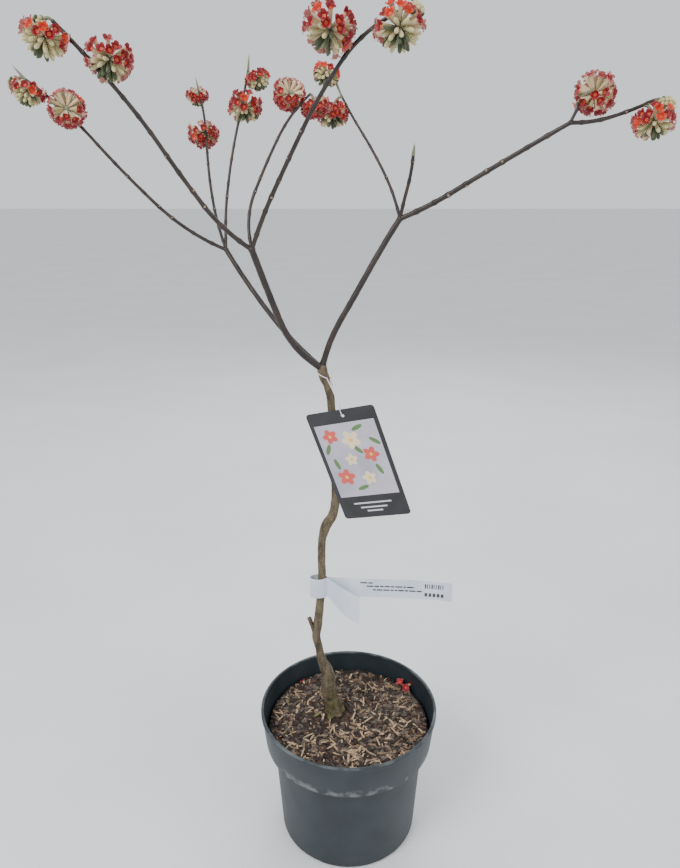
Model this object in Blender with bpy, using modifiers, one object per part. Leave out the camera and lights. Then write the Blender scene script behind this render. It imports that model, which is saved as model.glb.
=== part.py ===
# A potted paperbush in flower, on bare stems, built at real size.
# Metres, +Z up. The origin is the middle of the pot's flat underside.

import math
import random
from collections import namedtuple

import bmesh
import bpy
from mathutils import Matrix, Vector, noise

MILLIMETRE = 0.001
# Clear gap between two solids that touch on the real plant.
GAP = 0.3 * MILLIMETRE
SEED = 23

# Pot
POT_HEIGHT = 0.184
POT_RIM_RADIUS = 0.115
POT_LIP_HEIGHT = 0.006
POT_COLLAR_HEIGHT = 0.0485
POT_COLLAR_FOOT_RADIUS = 0.1087
POT_SHOULDER_RADIUS = 0.0985
POT_BASE_RADIUS = 0.0902
POT_BASE_ROUNDING = 0.0055
POT_WALL = 0.0020
POT_FLOOR = 0.0055
POT_STEPS = 40
DRAIN_HOLES = 6
DRAIN_HOLE_RADIUS = 0.005
DRAIN_HOLE_RING = 0.062
FOOT_NOTCHES = 3
FOOT_NOTCH_WIDTH = 0.030
FOOT_NOTCH_HEIGHT = 0.004
FOOT_NOTCH_DEPTH = 0.008
# Direction of the first notch, seen from the middle of the pot.
FOOT_NOTCH_AZIMUTH = -123.5

# Potting mix
MIX_LEVEL = 0.159
MIX_ROUGHNESS = 0.0022
MIX_NOISE_SCALE = 38.0
MIX_RINGS = 5
MIX_EDGE_GAP = 0.001

# Trunk: height, sideways place, depth and radius at each station.
TRUNK_STATIONS = (
    (0.159, -0.018, 0.0125, 0.0125),
    (0.167, -0.0195, 0.0125, 0.0104),
    (0.181, -0.023, 0.0120, 0.0094),
    (0.196, -0.026, 0.0115, 0.0097),
    (0.223, -0.0275, 0.0110, 0.0083),
    (0.244, -0.035, 0.0105, 0.0059),
    (0.263, -0.0385, 0.0100, 0.0049),
    (0.282, -0.042, 0.0095, 0.0053),
    (0.301, -0.0395, 0.0090, 0.0057),
    (0.326, -0.037, 0.0085, 0.0051),
    (0.361, -0.034, 0.0080, 0.0048),
    (0.401, -0.034, 0.0070, 0.0048),
    (0.421, -0.033, 0.0060, 0.0050),
    (0.435, -0.0298, 0.0060, 0.0057),
    (0.445, -0.0258, 0.0055, 0.0061),
    (0.453, -0.0208, 0.0050, 0.0057),
    (0.469, -0.0173, 0.0050, 0.0051),
    (0.491, -0.017, 0.0045, 0.0047),
    (0.551, -0.019, 0.0025, 0.0046),
    (0.596, -0.0215, 0.0015, 0.0045),
    (0.616, -0.0245, 0.0005, 0.0050),
    (0.6265, -0.029, 0.0005, 0.0055),
    (0.637, -0.0314, 0.0000, 0.0056),
)
TRUNK_SIDES = 12
TRUNK_FOOT_LOBES = 5
TRUNK_FOOT_LOBE_DEPTH = 0.18
# Height of the round of vertices at the foot that the flat cut levels.
TRUNK_FOOT_CUT = 0.0045
STUB_START = (-0.0425, 0.0095, 0.282)
STUB_END = (-0.0505, 0.0080, 0.309)
STUB_RADIUS = 0.0027

# Limbs: a limb's heading is azimuth and elevation in degrees, and it turns
# evenly from each heading to the next along the limb.
TRUNK_FORK_ARM = 0.0125
BOUGH_FORK_ARM = 0.0095
FORK_SWELLING = 1.14
LIMB_POINT_SPACING = 0.016
LIMB_SIDES_RESOLUTION = 1

BOUGHS = {
    "bough_front_left": {
        "headings": ((-157, 32), (-138, 66), (-121, 62)),
        "length": 0.162,
        "radii": (0.0036, 0.0033),
    },
    "bough_back_left": {
        "headings": ((157, 35), (153, 47), (149, 53)),
        "length": 0.175,
        "radii": (0.0030, 0.0027),
    },
    "bough_right": {
        "headings": ((0, 77), (0, 60), (0, 61), (0, 57)),
        "length": 0.181,
        "radii": (0.0034, 0.0031),
    },
}

# Flowering shoots, three to a bough.
SHOOTS = {
    "shoot_left_high": {
        "bough": "bough_front_left",
        "headings": ((186, 33), (191, 54), (193, 57), (191, 49), (191, 46)),
        "length": 0.255,
        "radii": (0.0024, 0.0018),
    },
    "shoot_front_middle": {
        "bough": "bough_front_left",
        "headings": ((125, 67), (49, 59), (46, 55), (29, 39)),
        "length": 0.181,
        "radii": (0.0017, 0.0013),
    },
    "shoot_front_right": {
        "bough": "bough_front_left",
        "headings": ((-39, 64), (-34, 57), (-36, 55), (-32, 47), (-22, 18)),
        "length": 0.253,
        "radii": (0.0023, 0.0016),
    },
    "shoot_left_low": {
        "bough": "bough_back_left",
        "headings": ((179, 22), (179, 44), (178, 49), (179, 35)),
        "length": 0.273,
        "radii": (0.0021, 0.0015),
        "tip": {"heading": (180, 49), "length": 0.018},
    },
    "shoot_back_left": {
        "bough": "bough_back_left",
        "headings": ((121, 48), (107, 50), (99, 54), (116, 52)),
        "length": 0.230,
        "radii": (0.0018, 0.0014),
        "tip": {"heading": (180, 78), "length": 0.016},
    },
    "shoot_back_middle": {
        "bough": "bough_back_left",
        "headings": ((100, 75), (67, 73), (52, 70), (56, 71)),
        "length": 0.201,
        "radii": (0.0017, 0.0013),
        "tip": {"heading": (0, 84), "length": 0.017},
    },
    "shoot_right_long": {
        "bough": "bough_right",
        "headings": ((-13, 22), (-16, 31), (-17, 30), (-18, 29)),
        "length": 0.185,
        "radii": (0.0028, 0.0022),
        "branches": (
            {
                "headings": ((0, 69), (89, 34)),
                "length": 0.023,
                "radii": (0.0016, 0.0014),
            },
            {
                "headings": ((-3, -2), (-4, 17), (-4, 25)),
                "length": 0.078,
                "radii": (0.0020, 0.0016),
            },
        ),
    },
    "shoot_right_bare": {
        "bough": "bough_right",
        "headings": ((-60, 72), (-71, 58), (-88, 64)),
        "length": 0.070,
        "radii": (0.0019, 0.0016),
        "tip": {"heading": (0, 84), "length": 0.010},
    },
    "shoot_back_right": {
        "bough": "bough_right",
        "headings": ((107, 54), (121, 47), (128, 45), (124, 48)),
        "length": 0.176,
        "radii": (0.0017, 0.0013),
    },
}

# Flower heads and closed bud balls of each shoot. "limb" is 0 for the shoot
# itself and 1 or 2 for its branches, "along" the place on that limb, "offset"
# the way in millimetres from there to the head's middle, "facing" the heading
# of its face, "reach" a floret's length and "size" a ball's half width and
# half length in millimetres.
Head = namedtuple("Head", "limb along offset facing reach")
BudBall = namedtuple("BudBall", "limb along offset facing size")

HEADS = {
    "shoot_left_high": (
        Head(0, 0.97, (-12, -6, -8), (205, -72), 22),
        Head(0, 0.73, (-1, -4, 22), (-92, -42), 23),
    ),
    "shoot_left_low": (
        Head(0, 0.97, (-3, -4, -8), (205, -74), 19),
        Head(0, 0.73, (-12, -6, 18), (98, -18), 22),
    ),
    "shoot_back_left": (
        Head(0, 0.96, (-5, 8, 2), (110, -48), 15),
        Head(0, 0.75, (-4, 7, -4), (90, -62), 20),
    ),
    "shoot_back_middle": (
        Head(0, 0.97, (12, -3, -4), (-30, -66), 15),
        Head(0, 0.85, (3, -8, -10), (-88, -62), 21),
    ),
    "shoot_front_middle": (
        Head(0, 0.88, (-8, 8, 14), (112, -34), 18),
        Head(0, 0.99, (5, 1, -10), (60, -72), 16),
    ),
    "shoot_front_right": (
        Head(0, 0.77, (-11, -9, 20), (-112, -40), 24),
        Head(0, 0.98, (4, -8, -11), (-70, -58), 22),
    ),
    "shoot_back_right": (
        Head(0, 0.98, (-17, 4, 23), (-120, -58), 17),
        Head(0, 0.96, (-12, -4, -15), (-90, -74), 20),
    ),
    "shoot_right_long": (
        Head(1, 0.95, (18, 8, 10), (62, -24), 22),
        Head(2, 0.83, (12, -6, -13), (-75, -72), 21),
    ),
}
BUD_BALLS = {
    "shoot_left_high": BudBall(0, 1.00, (-12, -1, -3), (190, -40), (7.5, 8.5)),
    "shoot_left_low": BudBall(0, 0.99, (-14, 1, -3), (190, -50), (7.5, 8.5)),
    "shoot_front_right": BudBall(0, 1.00, (13, -2, 1), (-20, -35), (6.0, 8.0)),
    "shoot_right_long": BudBall(2, 1.00, (12, -1, -4), (-25, -35), (8.0, 9.5)),
}

# Florets: a tube that flares to four lobes, set round each head by the
# golden angle, and closed where they point within the bud angle.
FLORETS_PER_HEAD = 16
FLORET_SPREAD = 106.0
FLORET_BUD_ANGLE = 42.0
FLORET_BUD_REACH = 0.84
FLORET_JITTER = 5.0
FLORET_THROAT_RADIUS = 0.0019
FLORET_FLARE_RADIUS = 0.0046
FLORET_FULL_REACH = 0.025
FLORET_BUD_RADIUS = 0.0024
HEAD_CORE = 0.30
GOLDEN_ANGLE = math.pi * (3.0 - math.sqrt(5.0))

PEDUNCLE_RADIUS = 0.0013
PEDUNCLE_STEPS = 5

# Hang tag on its string
TAG_WIDTH = 0.085
TAG_HEIGHT = 0.142
TAG_THICKNESS = 0.0008
TAG_CORNER = 0.004
TAG_CENTRE = (0.0100, -0.0225, 0.5300)
TAG_YAW = -21.0
TAG_TILT = 11.5
TAG_ROLL = -16.0
TAG_HOLE = (0.0025, 0.0635)
TAG_HOLE_RADIUS = 0.0022
STRING_RADIUS = 0.0006
STRING_LOOP_HEIGHT = 0.6285
STRING_LOOP_LEAN = 0.0040
STRING_LOOP_SLACK = 1.14
STRING_LOOP_AZIMUTH = -48.0
STRING_LOOP_OPENING = 34.0
STRING_BOW = 0.0022
STRING_LOOP_STEPS = 14
STRING_STRAND_STEPS = 6

# Loop label round the trunk
LABEL_THICKNESS = 0.0006
LABEL_WIDTH = 0.026
LABEL_LEVEL = 0.355
LABEL_TAIL_END = 0.128
LABEL_TAIL_DROP = 0.004
LABEL_HEAD_END = 0.013
LABEL_HEAD_DROP = 0.025
LABEL_HEAD_GROWTH = 0.010
LABEL_LOOP_CENTRE = (-0.0385, 0.0080)
LABEL_LOOP_RADII = (0.0105, 0.0073)
LABEL_TAIL_STEPS = 8
LABEL_LOOP_STEPS = 14
LABEL_HEAD_STEPS = 5
# How far the tail and the head swing to the front, and how much they wave.
LABEL_TAIL_SWING = 0.010
LABEL_TAIL_WAVE = 0.0016
LABEL_HEAD_SWING = 0.0095
LABEL_HEAD_WAVE = 0.0020
# The loop's opening at its lock, to each side of +X in degrees.
LABEL_LOCK_ANGLE = 25.0
LABEL_HEAD_HOLE = (-0.0062, 0.3395)
LABEL_HEAD_HOLE_RADII = (0.0070, 0.0060)


def clear_scene():
    """Remove whatever the new file holds."""
    for item in list(bpy.data.objects):
        bpy.data.objects.remove(item, do_unlink=True)


def new_collection(name):
    """Make a collection and link it to the scene."""
    group = bpy.data.collections.new(name)
    bpy.context.scene.collection.children.link(group)
    return group


def make_material(name, colour, roughness, metallic=0.0):
    """Make a plain Principled material."""
    material = bpy.data.materials.new(name)
    material.use_nodes = True
    shader = material.node_tree.nodes["Principled BSDF"]
    shader.inputs["Base Color"].default_value = (*colour, 1.0)
    shader.inputs["Roughness"].default_value = roughness
    shader.inputs["Metallic"].default_value = metallic
    return material


def new_object(name, data, group):
    """Wrap mesh or curve data in an object of the given collection."""
    item = bpy.data.objects.new(name, data)
    group.objects.link(item)
    return item


def evaluated_mesh(item):
    """Read an object's final mesh, with the modifiers applied."""
    graph = bpy.context.evaluated_depsgraph_get()
    graph.update()
    return bpy.data.meshes.new_from_object(item.evaluated_get(graph))


def weld_outward(mesh, matrix=None):
    """Weld a mesh's loose caps and turn all its faces outwards."""
    form = bmesh.new()
    form.from_mesh(mesh)
    bmesh.ops.remove_doubles(form, verts=form.verts, dist=0.00001)
    if matrix is not None:
        form.transform(matrix)
    bmesh.ops.recalc_face_normals(form, faces=form.faces)
    if form.calc_volume(signed=True) < 0.0:
        bmesh.ops.reverse_faces(form, faces=form.faces)
    form.to_mesh(mesh)
    form.free()


def heading(azimuth, elevation):
    """Unit vector for an azimuth and an elevation in degrees."""
    turn = math.radians(azimuth)
    rise = math.radians(elevation)
    return Vector((
        math.cos(rise) * math.cos(turn),
        math.cos(rise) * math.sin(turn),
        math.sin(rise),
    ))


def limb_route(start, headings, length, steps=60):
    """Points along a limb whose heading turns evenly between the given ones."""
    points = [Vector(start)]
    spans = len(headings) - 1
    for step in range(steps):
        place = (step + 0.5) / steps * spans
        first = min(int(place), spans - 1)
        share = place - first
        azimuth = headings[first][0] * (1 - share) + headings[first + 1][0] * share
        elevation = headings[first][1] * (1 - share) + headings[first + 1][1] * share
        points.append(points[-1] + heading(azimuth, elevation) * (length / steps))
    return points


def route_length(route):
    """Length of a line of points."""
    return sum((b - a).length for a, b in zip(route, route[1:]))


def point_on(route, distance):
    """Point at a distance along a line of points."""
    for a, b in zip(route, route[1:]):
        span = (b - a).length
        if distance <= span:
            return a.lerp(b, distance / span)
        distance -= span
    return route[-1].copy()


def stretch_of(route, begin, end, spacing):
    """Evenly spaced points from one distance to another along a route."""
    count = max(2, round((end - begin) / spacing))
    return [point_on(route, begin + (end - begin) * i / count) for i in range(count + 1)]


def tube(name, points, radii, group, resolution=LIMB_SIDES_RESOLUTION, cyclic=False):
    """Closed round limb along points, as a mesh object with welded caps."""
    curve = bpy.data.curves.new(name, "CURVE")
    curve.dimensions = "3D"
    curve.bevel_depth = 1.0
    curve.bevel_resolution = resolution
    curve.use_fill_caps = not cyclic
    spline = curve.splines.new("POLY")
    spline.points.add(len(points) - 1)
    spline.use_cyclic_u = cyclic
    for knot, point, radius in zip(spline.points, points, radii):
        knot.co = (*point, 1.0)
        knot.radius = radius
    guide = new_object(name + "_guide", curve, group)
    mesh = evaluated_mesh(guide)
    bpy.data.objects.remove(guide, do_unlink=True)
    weld_outward(mesh)
    return new_object(name, mesh, group)


def tapered(count, first, last):
    """Radii that shrink evenly from the first to the last."""
    return [first + (last - first) * i / (count - 1) for i in range(count)]


def ball(name, centre, radii, facing, group, subdivisions=2):
    """Closed ellipsoid whose long axis follows the facing vector."""
    form = bmesh.new()
    bmesh.ops.create_icosphere(form, subdivisions=subdivisions, radius=1.0)
    turn = facing.to_track_quat("Z", "Y").to_matrix().to_4x4()
    scale = Matrix.Diagonal((radii[0], radii[0], radii[1], 1.0))
    form.transform(Matrix.Translation(centre) @ turn @ scale)
    mesh = bpy.data.meshes.new(name)
    form.to_mesh(mesh)
    form.free()
    return new_object(name, mesh, group)


def turned(name, profile, steps, group):
    """Solid turned from a profile of radius and height pairs."""
    mesh = bpy.data.meshes.new(name)
    edges = [(i, i + 1) for i in range(len(profile) - 1)]
    mesh.from_pydata([(radius, 0.0, height) for radius, height in profile], edges, [])
    item = new_object(name, mesh, group)
    screw = item.modifiers.new("turn", "SCREW")
    screw.axis = "Z"
    screw.angle = math.tau
    screw.steps = steps
    screw.render_steps = steps
    screw.use_merge_vertices = True
    screw.merge_threshold = 0.00002
    return item


def fuse(name, pieces, solver="MANIFOLD"):
    """Join closed pieces into the first one by one Boolean union."""
    body = pieces[0]
    if len(pieces) > 1:
        others = new_collection(name + "_pieces")
        for piece in pieces[1:]:
            for group in list(piece.users_collection):
                group.objects.unlink(piece)
            others.objects.link(piece)
        union = body.modifiers.new("union", "BOOLEAN")
        union.operation = "UNION"
        union.operand_type = "COLLECTION"
        union.collection = others
        union.solver = solver
        joined = evaluated_mesh(body)
        body.modifiers.clear()
        body.data = joined
        for piece in list(others.objects):
            bpy.data.objects.remove(piece, do_unlink=True)
        bpy.data.collections.remove(others)
    body.name = name
    body.data.name = name
    return body


def finish_piece(item, material, sharp_angle=40.0):
    """Give a piece its material and smooth shading."""
    item.data.materials.clear()
    item.data.materials.append(material)
    item.data.shade_smooth()
    item.data.set_sharp_from_angle(angle=math.radians(sharp_angle))


def arc(centre, radius, start, end, steps):
    """Points of a profile's round corner, angles in degrees."""
    points = []
    for step in range(steps + 1):
        angle = math.radians(start + (end - start) * step / steps)
        points.append((
            centre[0] + radius * math.cos(angle),
            centre[1] + radius * math.sin(angle),
        ))
    return points


def outer_wall_radius(height):
    """Outer radius of the pot's body at a height below its collar."""
    collar_foot = POT_HEIGHT - POT_COLLAR_HEIGHT
    share = height / collar_foot
    return POT_BASE_RADIUS + (POT_SHOULDER_RADIUS - POT_BASE_RADIUS) * share


def inner_wall_profile(inset):
    """Inside of the pot from its floor's edge to the rim, moved in by an inset."""
    collar_foot = POT_HEIGHT - POT_COLLAR_HEIGHT
    floor = POT_FLOOR + inset
    return [
        (outer_wall_radius(POT_BASE_ROUNDING) - POT_BASE_ROUNDING - inset, floor),
        (outer_wall_radius(POT_BASE_ROUNDING) - POT_WALL - inset, floor + POT_BASE_ROUNDING),
        (POT_SHOULDER_RADIUS - POT_WALL - inset, collar_foot),
        (POT_COLLAR_FOOT_RADIUS - POT_WALL - inset, collar_foot + POT_WALL * 2),
        (POT_RIM_RADIUS - 2 * POT_WALL - inset, POT_HEIGHT - POT_LIP_HEIGHT),
    ]


def build_pot(group, cutters, material):
    """Nursery pot: thin wall, deep collar, rolled lip, drain holes and foot notches."""
    collar_foot = POT_HEIGHT - POT_COLLAR_HEIGHT
    lip_radius = POT_LIP_HEIGHT / 3
    outer = [
        (POT_RIM_RADIUS, POT_HEIGHT - POT_LIP_HEIGHT),
        (POT_RIM_RADIUS - 0.0012, POT_HEIGHT - POT_LIP_HEIGHT - 0.0010),
        (POT_COLLAR_FOOT_RADIUS + 0.0004, collar_foot + 0.0012),
        (POT_COLLAR_FOOT_RADIUS - 0.0006, collar_foot),
        (POT_SHOULDER_RADIUS + 0.0008, collar_foot),
        (POT_SHOULDER_RADIUS, collar_foot - 0.0012),
    ]
    base_centre = (outer_wall_radius(0.0) - POT_BASE_ROUNDING, POT_BASE_ROUNDING)
    lip = arc((POT_RIM_RADIUS - lip_radius, POT_HEIGHT - lip_radius), lip_radius, 140, 0, 4)
    foot = arc(base_centre, POT_BASE_ROUNDING, 0, -90, 3)
    profile = [(0.0, POT_FLOOR)] + inner_wall_profile(0.0) + lip + outer + foot + [(0.0, 0.0)]
    pot = turned("pot", profile, POT_STEPS, group)
    for index in range(DRAIN_HOLES):
        angle = math.tau * index / DRAIN_HOLES
        place = Vector((math.cos(angle), math.sin(angle), 0.0)) * DRAIN_HOLE_RING
        cut_with_cylinder(pot, cutters, place, DRAIN_HOLE_RADIUS, 4 * POT_FLOOR, index)
    for index in range(FOOT_NOTCHES):
        angle = math.radians(FOOT_NOTCH_AZIMUTH) + math.tau * index / FOOT_NOTCHES
        cut_foot_notch(pot, cutters, angle, index)
    pot.data = evaluated_mesh(pot)
    pot.modifiers.clear()
    finish_piece(pot, material, 30.0)
    return pot


def add_cut(body, cutter):
    """Cut one closed cutter out of a body, and hide the cutter."""
    cut = body.modifiers.new("cut", "BOOLEAN")
    cut.operation = "DIFFERENCE"
    cut.object = cutter
    cutter.hide_render = True
    cutter.display_type = "WIRE"


def cut_with_cylinder(body, cutters, place, radius, height, index):
    """Cut one round drain hole through the pot's floor."""
    form = bmesh.new()
    bmesh.ops.create_cone(
        form, cap_ends=True, segments=12, radius1=radius, radius2=radius, depth=height,
        matrix=Matrix.Translation(place),
    )
    mesh = bpy.data.meshes.new("drain_cutter")
    form.to_mesh(mesh)
    form.free()
    add_cut(body, new_object(f"drain_cutter_{index}", mesh, cutters))


def cut_foot_notch(body, cutters, angle, index):
    """Cut one shallow drainage notch in the pot's foot."""
    radius = outer_wall_radius(0.0)
    size = (FOOT_NOTCH_DEPTH * 2, FOOT_NOTCH_WIDTH, FOOT_NOTCH_HEIGHT * 2)
    form = bmesh.new()
    bmesh.ops.create_cube(form, size=1.0)
    form.transform(
        Matrix.Rotation(angle, 4, "Z")
        @ Matrix.Translation((radius, 0.0, 0.0))
        @ Matrix.Diagonal((*size, 1.0))
    )
    mesh = bpy.data.meshes.new("notch_cutter")
    form.to_mesh(mesh)
    form.free()
    add_cut(body, new_object(f"notch_cutter_{index}", mesh, cutters))


def build_potting_mix(group, material):
    """Fill of bark and wood chips: a turned solid with an uneven top."""
    wall = [point for point in inner_wall_profile(GAP * 2) if point[1] < MIX_LEVEL]
    lower, upper = wall[-1], inner_wall_profile(GAP * 2)[len(wall)]
    share = (MIX_LEVEL - lower[1]) / (upper[1] - lower[1])
    edge = lower[0] + (upper[0] - lower[0]) * share - MIX_EDGE_GAP
    top = [(edge * (1 - ring / MIX_RINGS), MIX_LEVEL) for ring in range(MIX_RINGS)]
    profile = [(0.0, MIX_LEVEL)] + top[::-1] + wall[::-1] + [(0.0, wall[0][1])]
    mix = turned("potting_mix", profile, POT_STEPS, group)
    mix.data = evaluated_mesh(mix)
    mix.modifiers.clear()
    foot = Vector(TRUNK_STATIONS[0][1:3])
    for vertex in mix.data.vertices:
        place = vertex.co
        if place.z < MIX_LEVEL - GAP:
            continue
        calm = min(1.0, max(0.0, ((Vector(place[:2]) - foot).length - 0.030) / 0.020))
        bump = noise.noise(place * MIX_NOISE_SCALE)
        vertex.co.z = MIX_LEVEL - GAP + calm * bump * MIX_ROUGHNESS * 2
    finish_piece(mix, material, 60.0)
    return mix


def build_trunk(group, material):
    """Leaning, kinked trunk with a flared foot, a cut stub and its three-way fork."""
    points = [Vector((x, y, z)) for z, x, y, _ in TRUNK_STATIONS]
    radii = [radius for _, _, _, radius in TRUNK_STATIONS]
    stem = tube("trunk_stem", points, radii, group, resolution=(TRUNK_SIDES - 4) // 2)
    shape_trunk_foot(stem, points[0])
    stub_points = [Vector(STUB_START), Vector(STUB_END)]
    pieces = [stem, tube("trunk_stub", stub_points, [STUB_RADIUS] * 2, group, 2)]
    fork = points[-1]
    pieces.append(ball("trunk_fork", fork, (radii[-1] * 1.02,) * 2, Vector((0, 0, 1)), group, 2))
    for name, bough in BOUGHS.items():
        route = limb_route(fork, bough["headings"], bough["length"])
        arm = stretch_of(route, 0.0, TRUNK_FORK_ARM, TRUNK_FORK_ARM / 3)
        swell = tapered(len(arm), bough["radii"][0] * 1.25, bough["radii"][0])
        pieces.append(tube("trunk_arm_" + name, arm, swell, group))
    trunk = fuse("trunk", pieces)
    finish_piece(trunk, material, 50.0)
    return fork


def shape_trunk_foot(stem, foot):
    """Give the foot its root flare in lobes, and cut it flat at ground level."""
    flare_top = TRUNK_STATIONS[3][0]
    for vertex in stem.data.vertices:
        height = vertex.co.z
        if height > flare_top:
            continue
        share = 1.0 - max(0.0, height - foot.z) / (flare_top - foot.z)
        away = Vector((vertex.co.x - foot.x, vertex.co.y - foot.y, 0.0))
        lobe = math.cos(TRUNK_FOOT_LOBES * math.atan2(away.y, away.x))
        vertex.co += away * (TRUNK_FOOT_LOBE_DEPTH * lobe * share * share)
        if abs(vertex.co.z - foot.z) < TRUNK_FOOT_CUT:
            vertex.co.z = foot.z


def build_boughs(fork, group, material):
    """Three main boughs, each one tapering limb that ends in its own fork."""
    forks = {}
    for name, bough in BOUGHS.items():
        route = limb_route(fork, bough["headings"], bough["length"])
        limb = stretch_of(route, TRUNK_FORK_ARM + GAP, bough["length"], LIMB_POINT_SPACING)
        radii = tapered(len(limb), *bough["radii"])
        pieces = [tube(name + "_limb", limb, radii, group, 2)]
        tip = limb[-1]
        swelling = bough["radii"][1] * FORK_SWELLING
        pieces.append(ball(name + "_knuckle", tip, (swelling, swelling), Vector((0, 0, 1)), group, 2))
        for shoot_name, shoot in SHOOTS.items():
            if shoot["bough"] != name:
                continue
            shoot_line = limb_route(tip, shoot["headings"], shoot["length"])
            arm = stretch_of(shoot_line, 0.0, BOUGH_FORK_ARM, BOUGH_FORK_ARM / 2)
            thick = tapered(len(arm), shoot["radii"][0] * 1.15, shoot["radii"][0])
            pieces.append(tube(shoot_name + "_arm", arm, thick, group))
        finish_piece(fuse(name, pieces), material, 50.0)
        forks[name] = tip
    return forks


def floret_mesh(length, flare, group, opened):
    """One floret along +Z: a four-cornered tube, flared if it is open."""
    if opened:
        profile = (
            (0.0, length * 0.95),
            (flare, length),
            (FLORET_THROAT_RADIUS, length * 0.76),
            (0.0, 0.0),
        )
    else:
        profile = (
            (0.0, length),
            (FLORET_BUD_RADIUS, length * 0.86),
            (0.0, 0.0),
        )
    source = turned("floret_source", profile, 4, group)
    mesh = evaluated_mesh(source)
    bpy.data.objects.remove(source, do_unlink=True)
    return mesh


def floret_headings(facing, rng):
    """Directions and angles from the facing of one head's florets."""
    turn = facing.to_track_quat("Z", "Y")
    low = math.cos(math.radians(FLORET_SPREAD))
    for index in range(FLORETS_PER_HEAD):
        height = 1.0 - (index + 0.5) / FLORETS_PER_HEAD * (1.0 - low)
        tilt = math.acos(height) + math.radians(rng.uniform(-FLORET_JITTER, FLORET_JITTER))
        spin = index * GOLDEN_ANGLE + math.radians(rng.uniform(-FLORET_JITTER, FLORET_JITTER))
        local = Vector((
            math.sin(tilt) * math.cos(spin),
            math.sin(tilt) * math.sin(spin),
            math.cos(tilt),
        ))
        yield turn @ local, math.degrees(tilt)


def peduncle_route(start, along, end, facing):
    """Nodding stalk: leaves along the shoot and arrives along the head's facing."""
    span = (end - start).length
    first = start + along * span * 0.45
    last = end - facing * span * 0.55
    points = []
    for step in range(PEDUNCLE_STEPS + 1):
        t = step / PEDUNCLE_STEPS
        points.append(
            start * (1 - t) ** 3 + first * 3 * t * (1 - t) ** 2
            + last * 3 * t * t * (1 - t) + end * t ** 3
        )
    return points


def direction_at(route, distance):
    """Unit direction of a route at a distance along it."""
    step = 0.002
    behind = point_on(route, max(0.0, distance - step))
    ahead = point_on(route, distance + step)
    return (ahead - behind).normalized()


def head_stalk(row, routes, back):
    """Middle and facing of a head, and the nodding stalk that ends behind it."""
    route = routes[row.limb]
    distance = row.along * route_length(route)
    start = point_on(route, distance)
    middle = start + Vector(row.offset) * MILLIMETRE
    facing = heading(*row.facing)
    end = middle - facing * back
    return middle, facing, peduncle_route(start, direction_at(route, distance), end, facing)


def build_head(head, routes, group, rng, stems):
    """One nodding flower head: its stalk, a small core and the florets round it."""
    middle, facing, stalk = head_stalk(head, routes, 0.0)
    reach = head.reach * MILLIMETRE
    core = reach * HEAD_CORE
    pieces = [
        tube("peduncle", stalk, [PEDUNCLE_RADIUS] * len(stalk), group, 0),
        ball("core", middle + facing * core * 0.3, (core, core * 1.1), facing, group, 1),
    ]
    flare = FLORET_FLARE_RADIUS * (0.55 + 0.45 * reach / FLORET_FULL_REACH)
    open_mesh = floret_mesh(reach, flare, group, True)
    bud_mesh = floret_mesh(reach * FLORET_BUD_REACH, flare, group, False)
    for direction, tilt in floret_headings(facing, rng):
        opened = tilt > FLORET_BUD_ANGLE
        if floret_hits_stem(middle, direction, reach, stems):
            continue
        piece = new_object("floret", (open_mesh if opened else bud_mesh).copy(), group)
        turn = direction.to_track_quat("Z", "Y").to_matrix().to_4x4()
        spin = Matrix.Rotation(rng.uniform(0.0, math.pi / 2), 4, "Z")
        piece.data.transform(Matrix.Translation(middle) @ turn @ spin)
        pieces.append(piece)
    return pieces


def floret_hits_stem(middle, direction, reach, stems):
    """True where a floret's flare would touch a limb that isn't its own."""
    clear = FLORET_FLARE_RADIUS + 0.0015
    for share in (0.5, 0.75, 1.0):
        point = middle + direction * reach * share
        for route, radius in stems:
            if any((point - knot).length < clear + radius for knot in route):
                return True
    return False


def build_bud_ball(bud, routes, group):
    """A closed flower head: a stalk and a ball of silky buds."""
    size = [value * MILLIMETRE for value in bud.size]
    middle, facing, stalk = head_stalk(bud, routes, size[1] * 0.5)
    return [
        tube("peduncle", stalk, [PEDUNCLE_RADIUS] * len(stalk), group, 0),
        ball("bud_ball", middle, size, facing, group, 2),
    ]


def shoot_routes(shoot, start):
    """Lines of a shoot and of the branches at its end."""
    main = limb_route(start, shoot["headings"], shoot["length"])
    routes = [main]
    for branch in shoot.get("branches", ()):
        routes.append(limb_route(main[-1], branch["headings"], branch["length"]))
    return routes


def build_shoot(name, start, others, group, material):
    """One flowering shoot: its stem, branches, pointed bud and flower heads."""
    shoot = SHOOTS[name]
    rng = random.Random(f"{SEED} {name}")
    routes = shoot_routes(shoot, start)
    stem = stretch_of(routes[0], BOUGH_FORK_ARM + GAP, shoot["length"], LIMB_POINT_SPACING)
    pieces = [tube(name + "_stem", stem, tapered(len(stem), *shoot["radii"]), group)]
    for branch, route in zip(shoot.get("branches", ()), routes[1:]):
        line = stretch_of(route, 0.0, branch["length"], LIMB_POINT_SPACING)
        pieces.append(tube(name + "_branch", line, tapered(len(line), *branch["radii"]), group))
    if "branches" in shoot:
        knob = shoot["radii"][1] * FORK_SWELLING
        pieces.append(ball("knuckle", routes[0][-1], (knob, knob), Vector((0, 0, 1)), group, 1))
    if "tip" in shoot:
        tip = shoot["tip"]
        end = routes[0][-1]
        way = heading(*tip["heading"])
        radius = shoot["radii"][1]
        line = [end - way * 0.002, end + way * tip["length"] * 0.45, end + way * tip["length"]]
        pieces.append(tube(name + "_tip", line, [radius, radius * 0.85, 0.0003], group))
    for head in HEADS.get(name, ()):
        pieces += build_head(head, routes, group, rng, others)
    if name in BUD_BALLS:
        pieces += build_bud_ball(BUD_BALLS[name], routes, group)
    finish_piece(fuse(name, pieces), material, 50.0)


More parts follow.
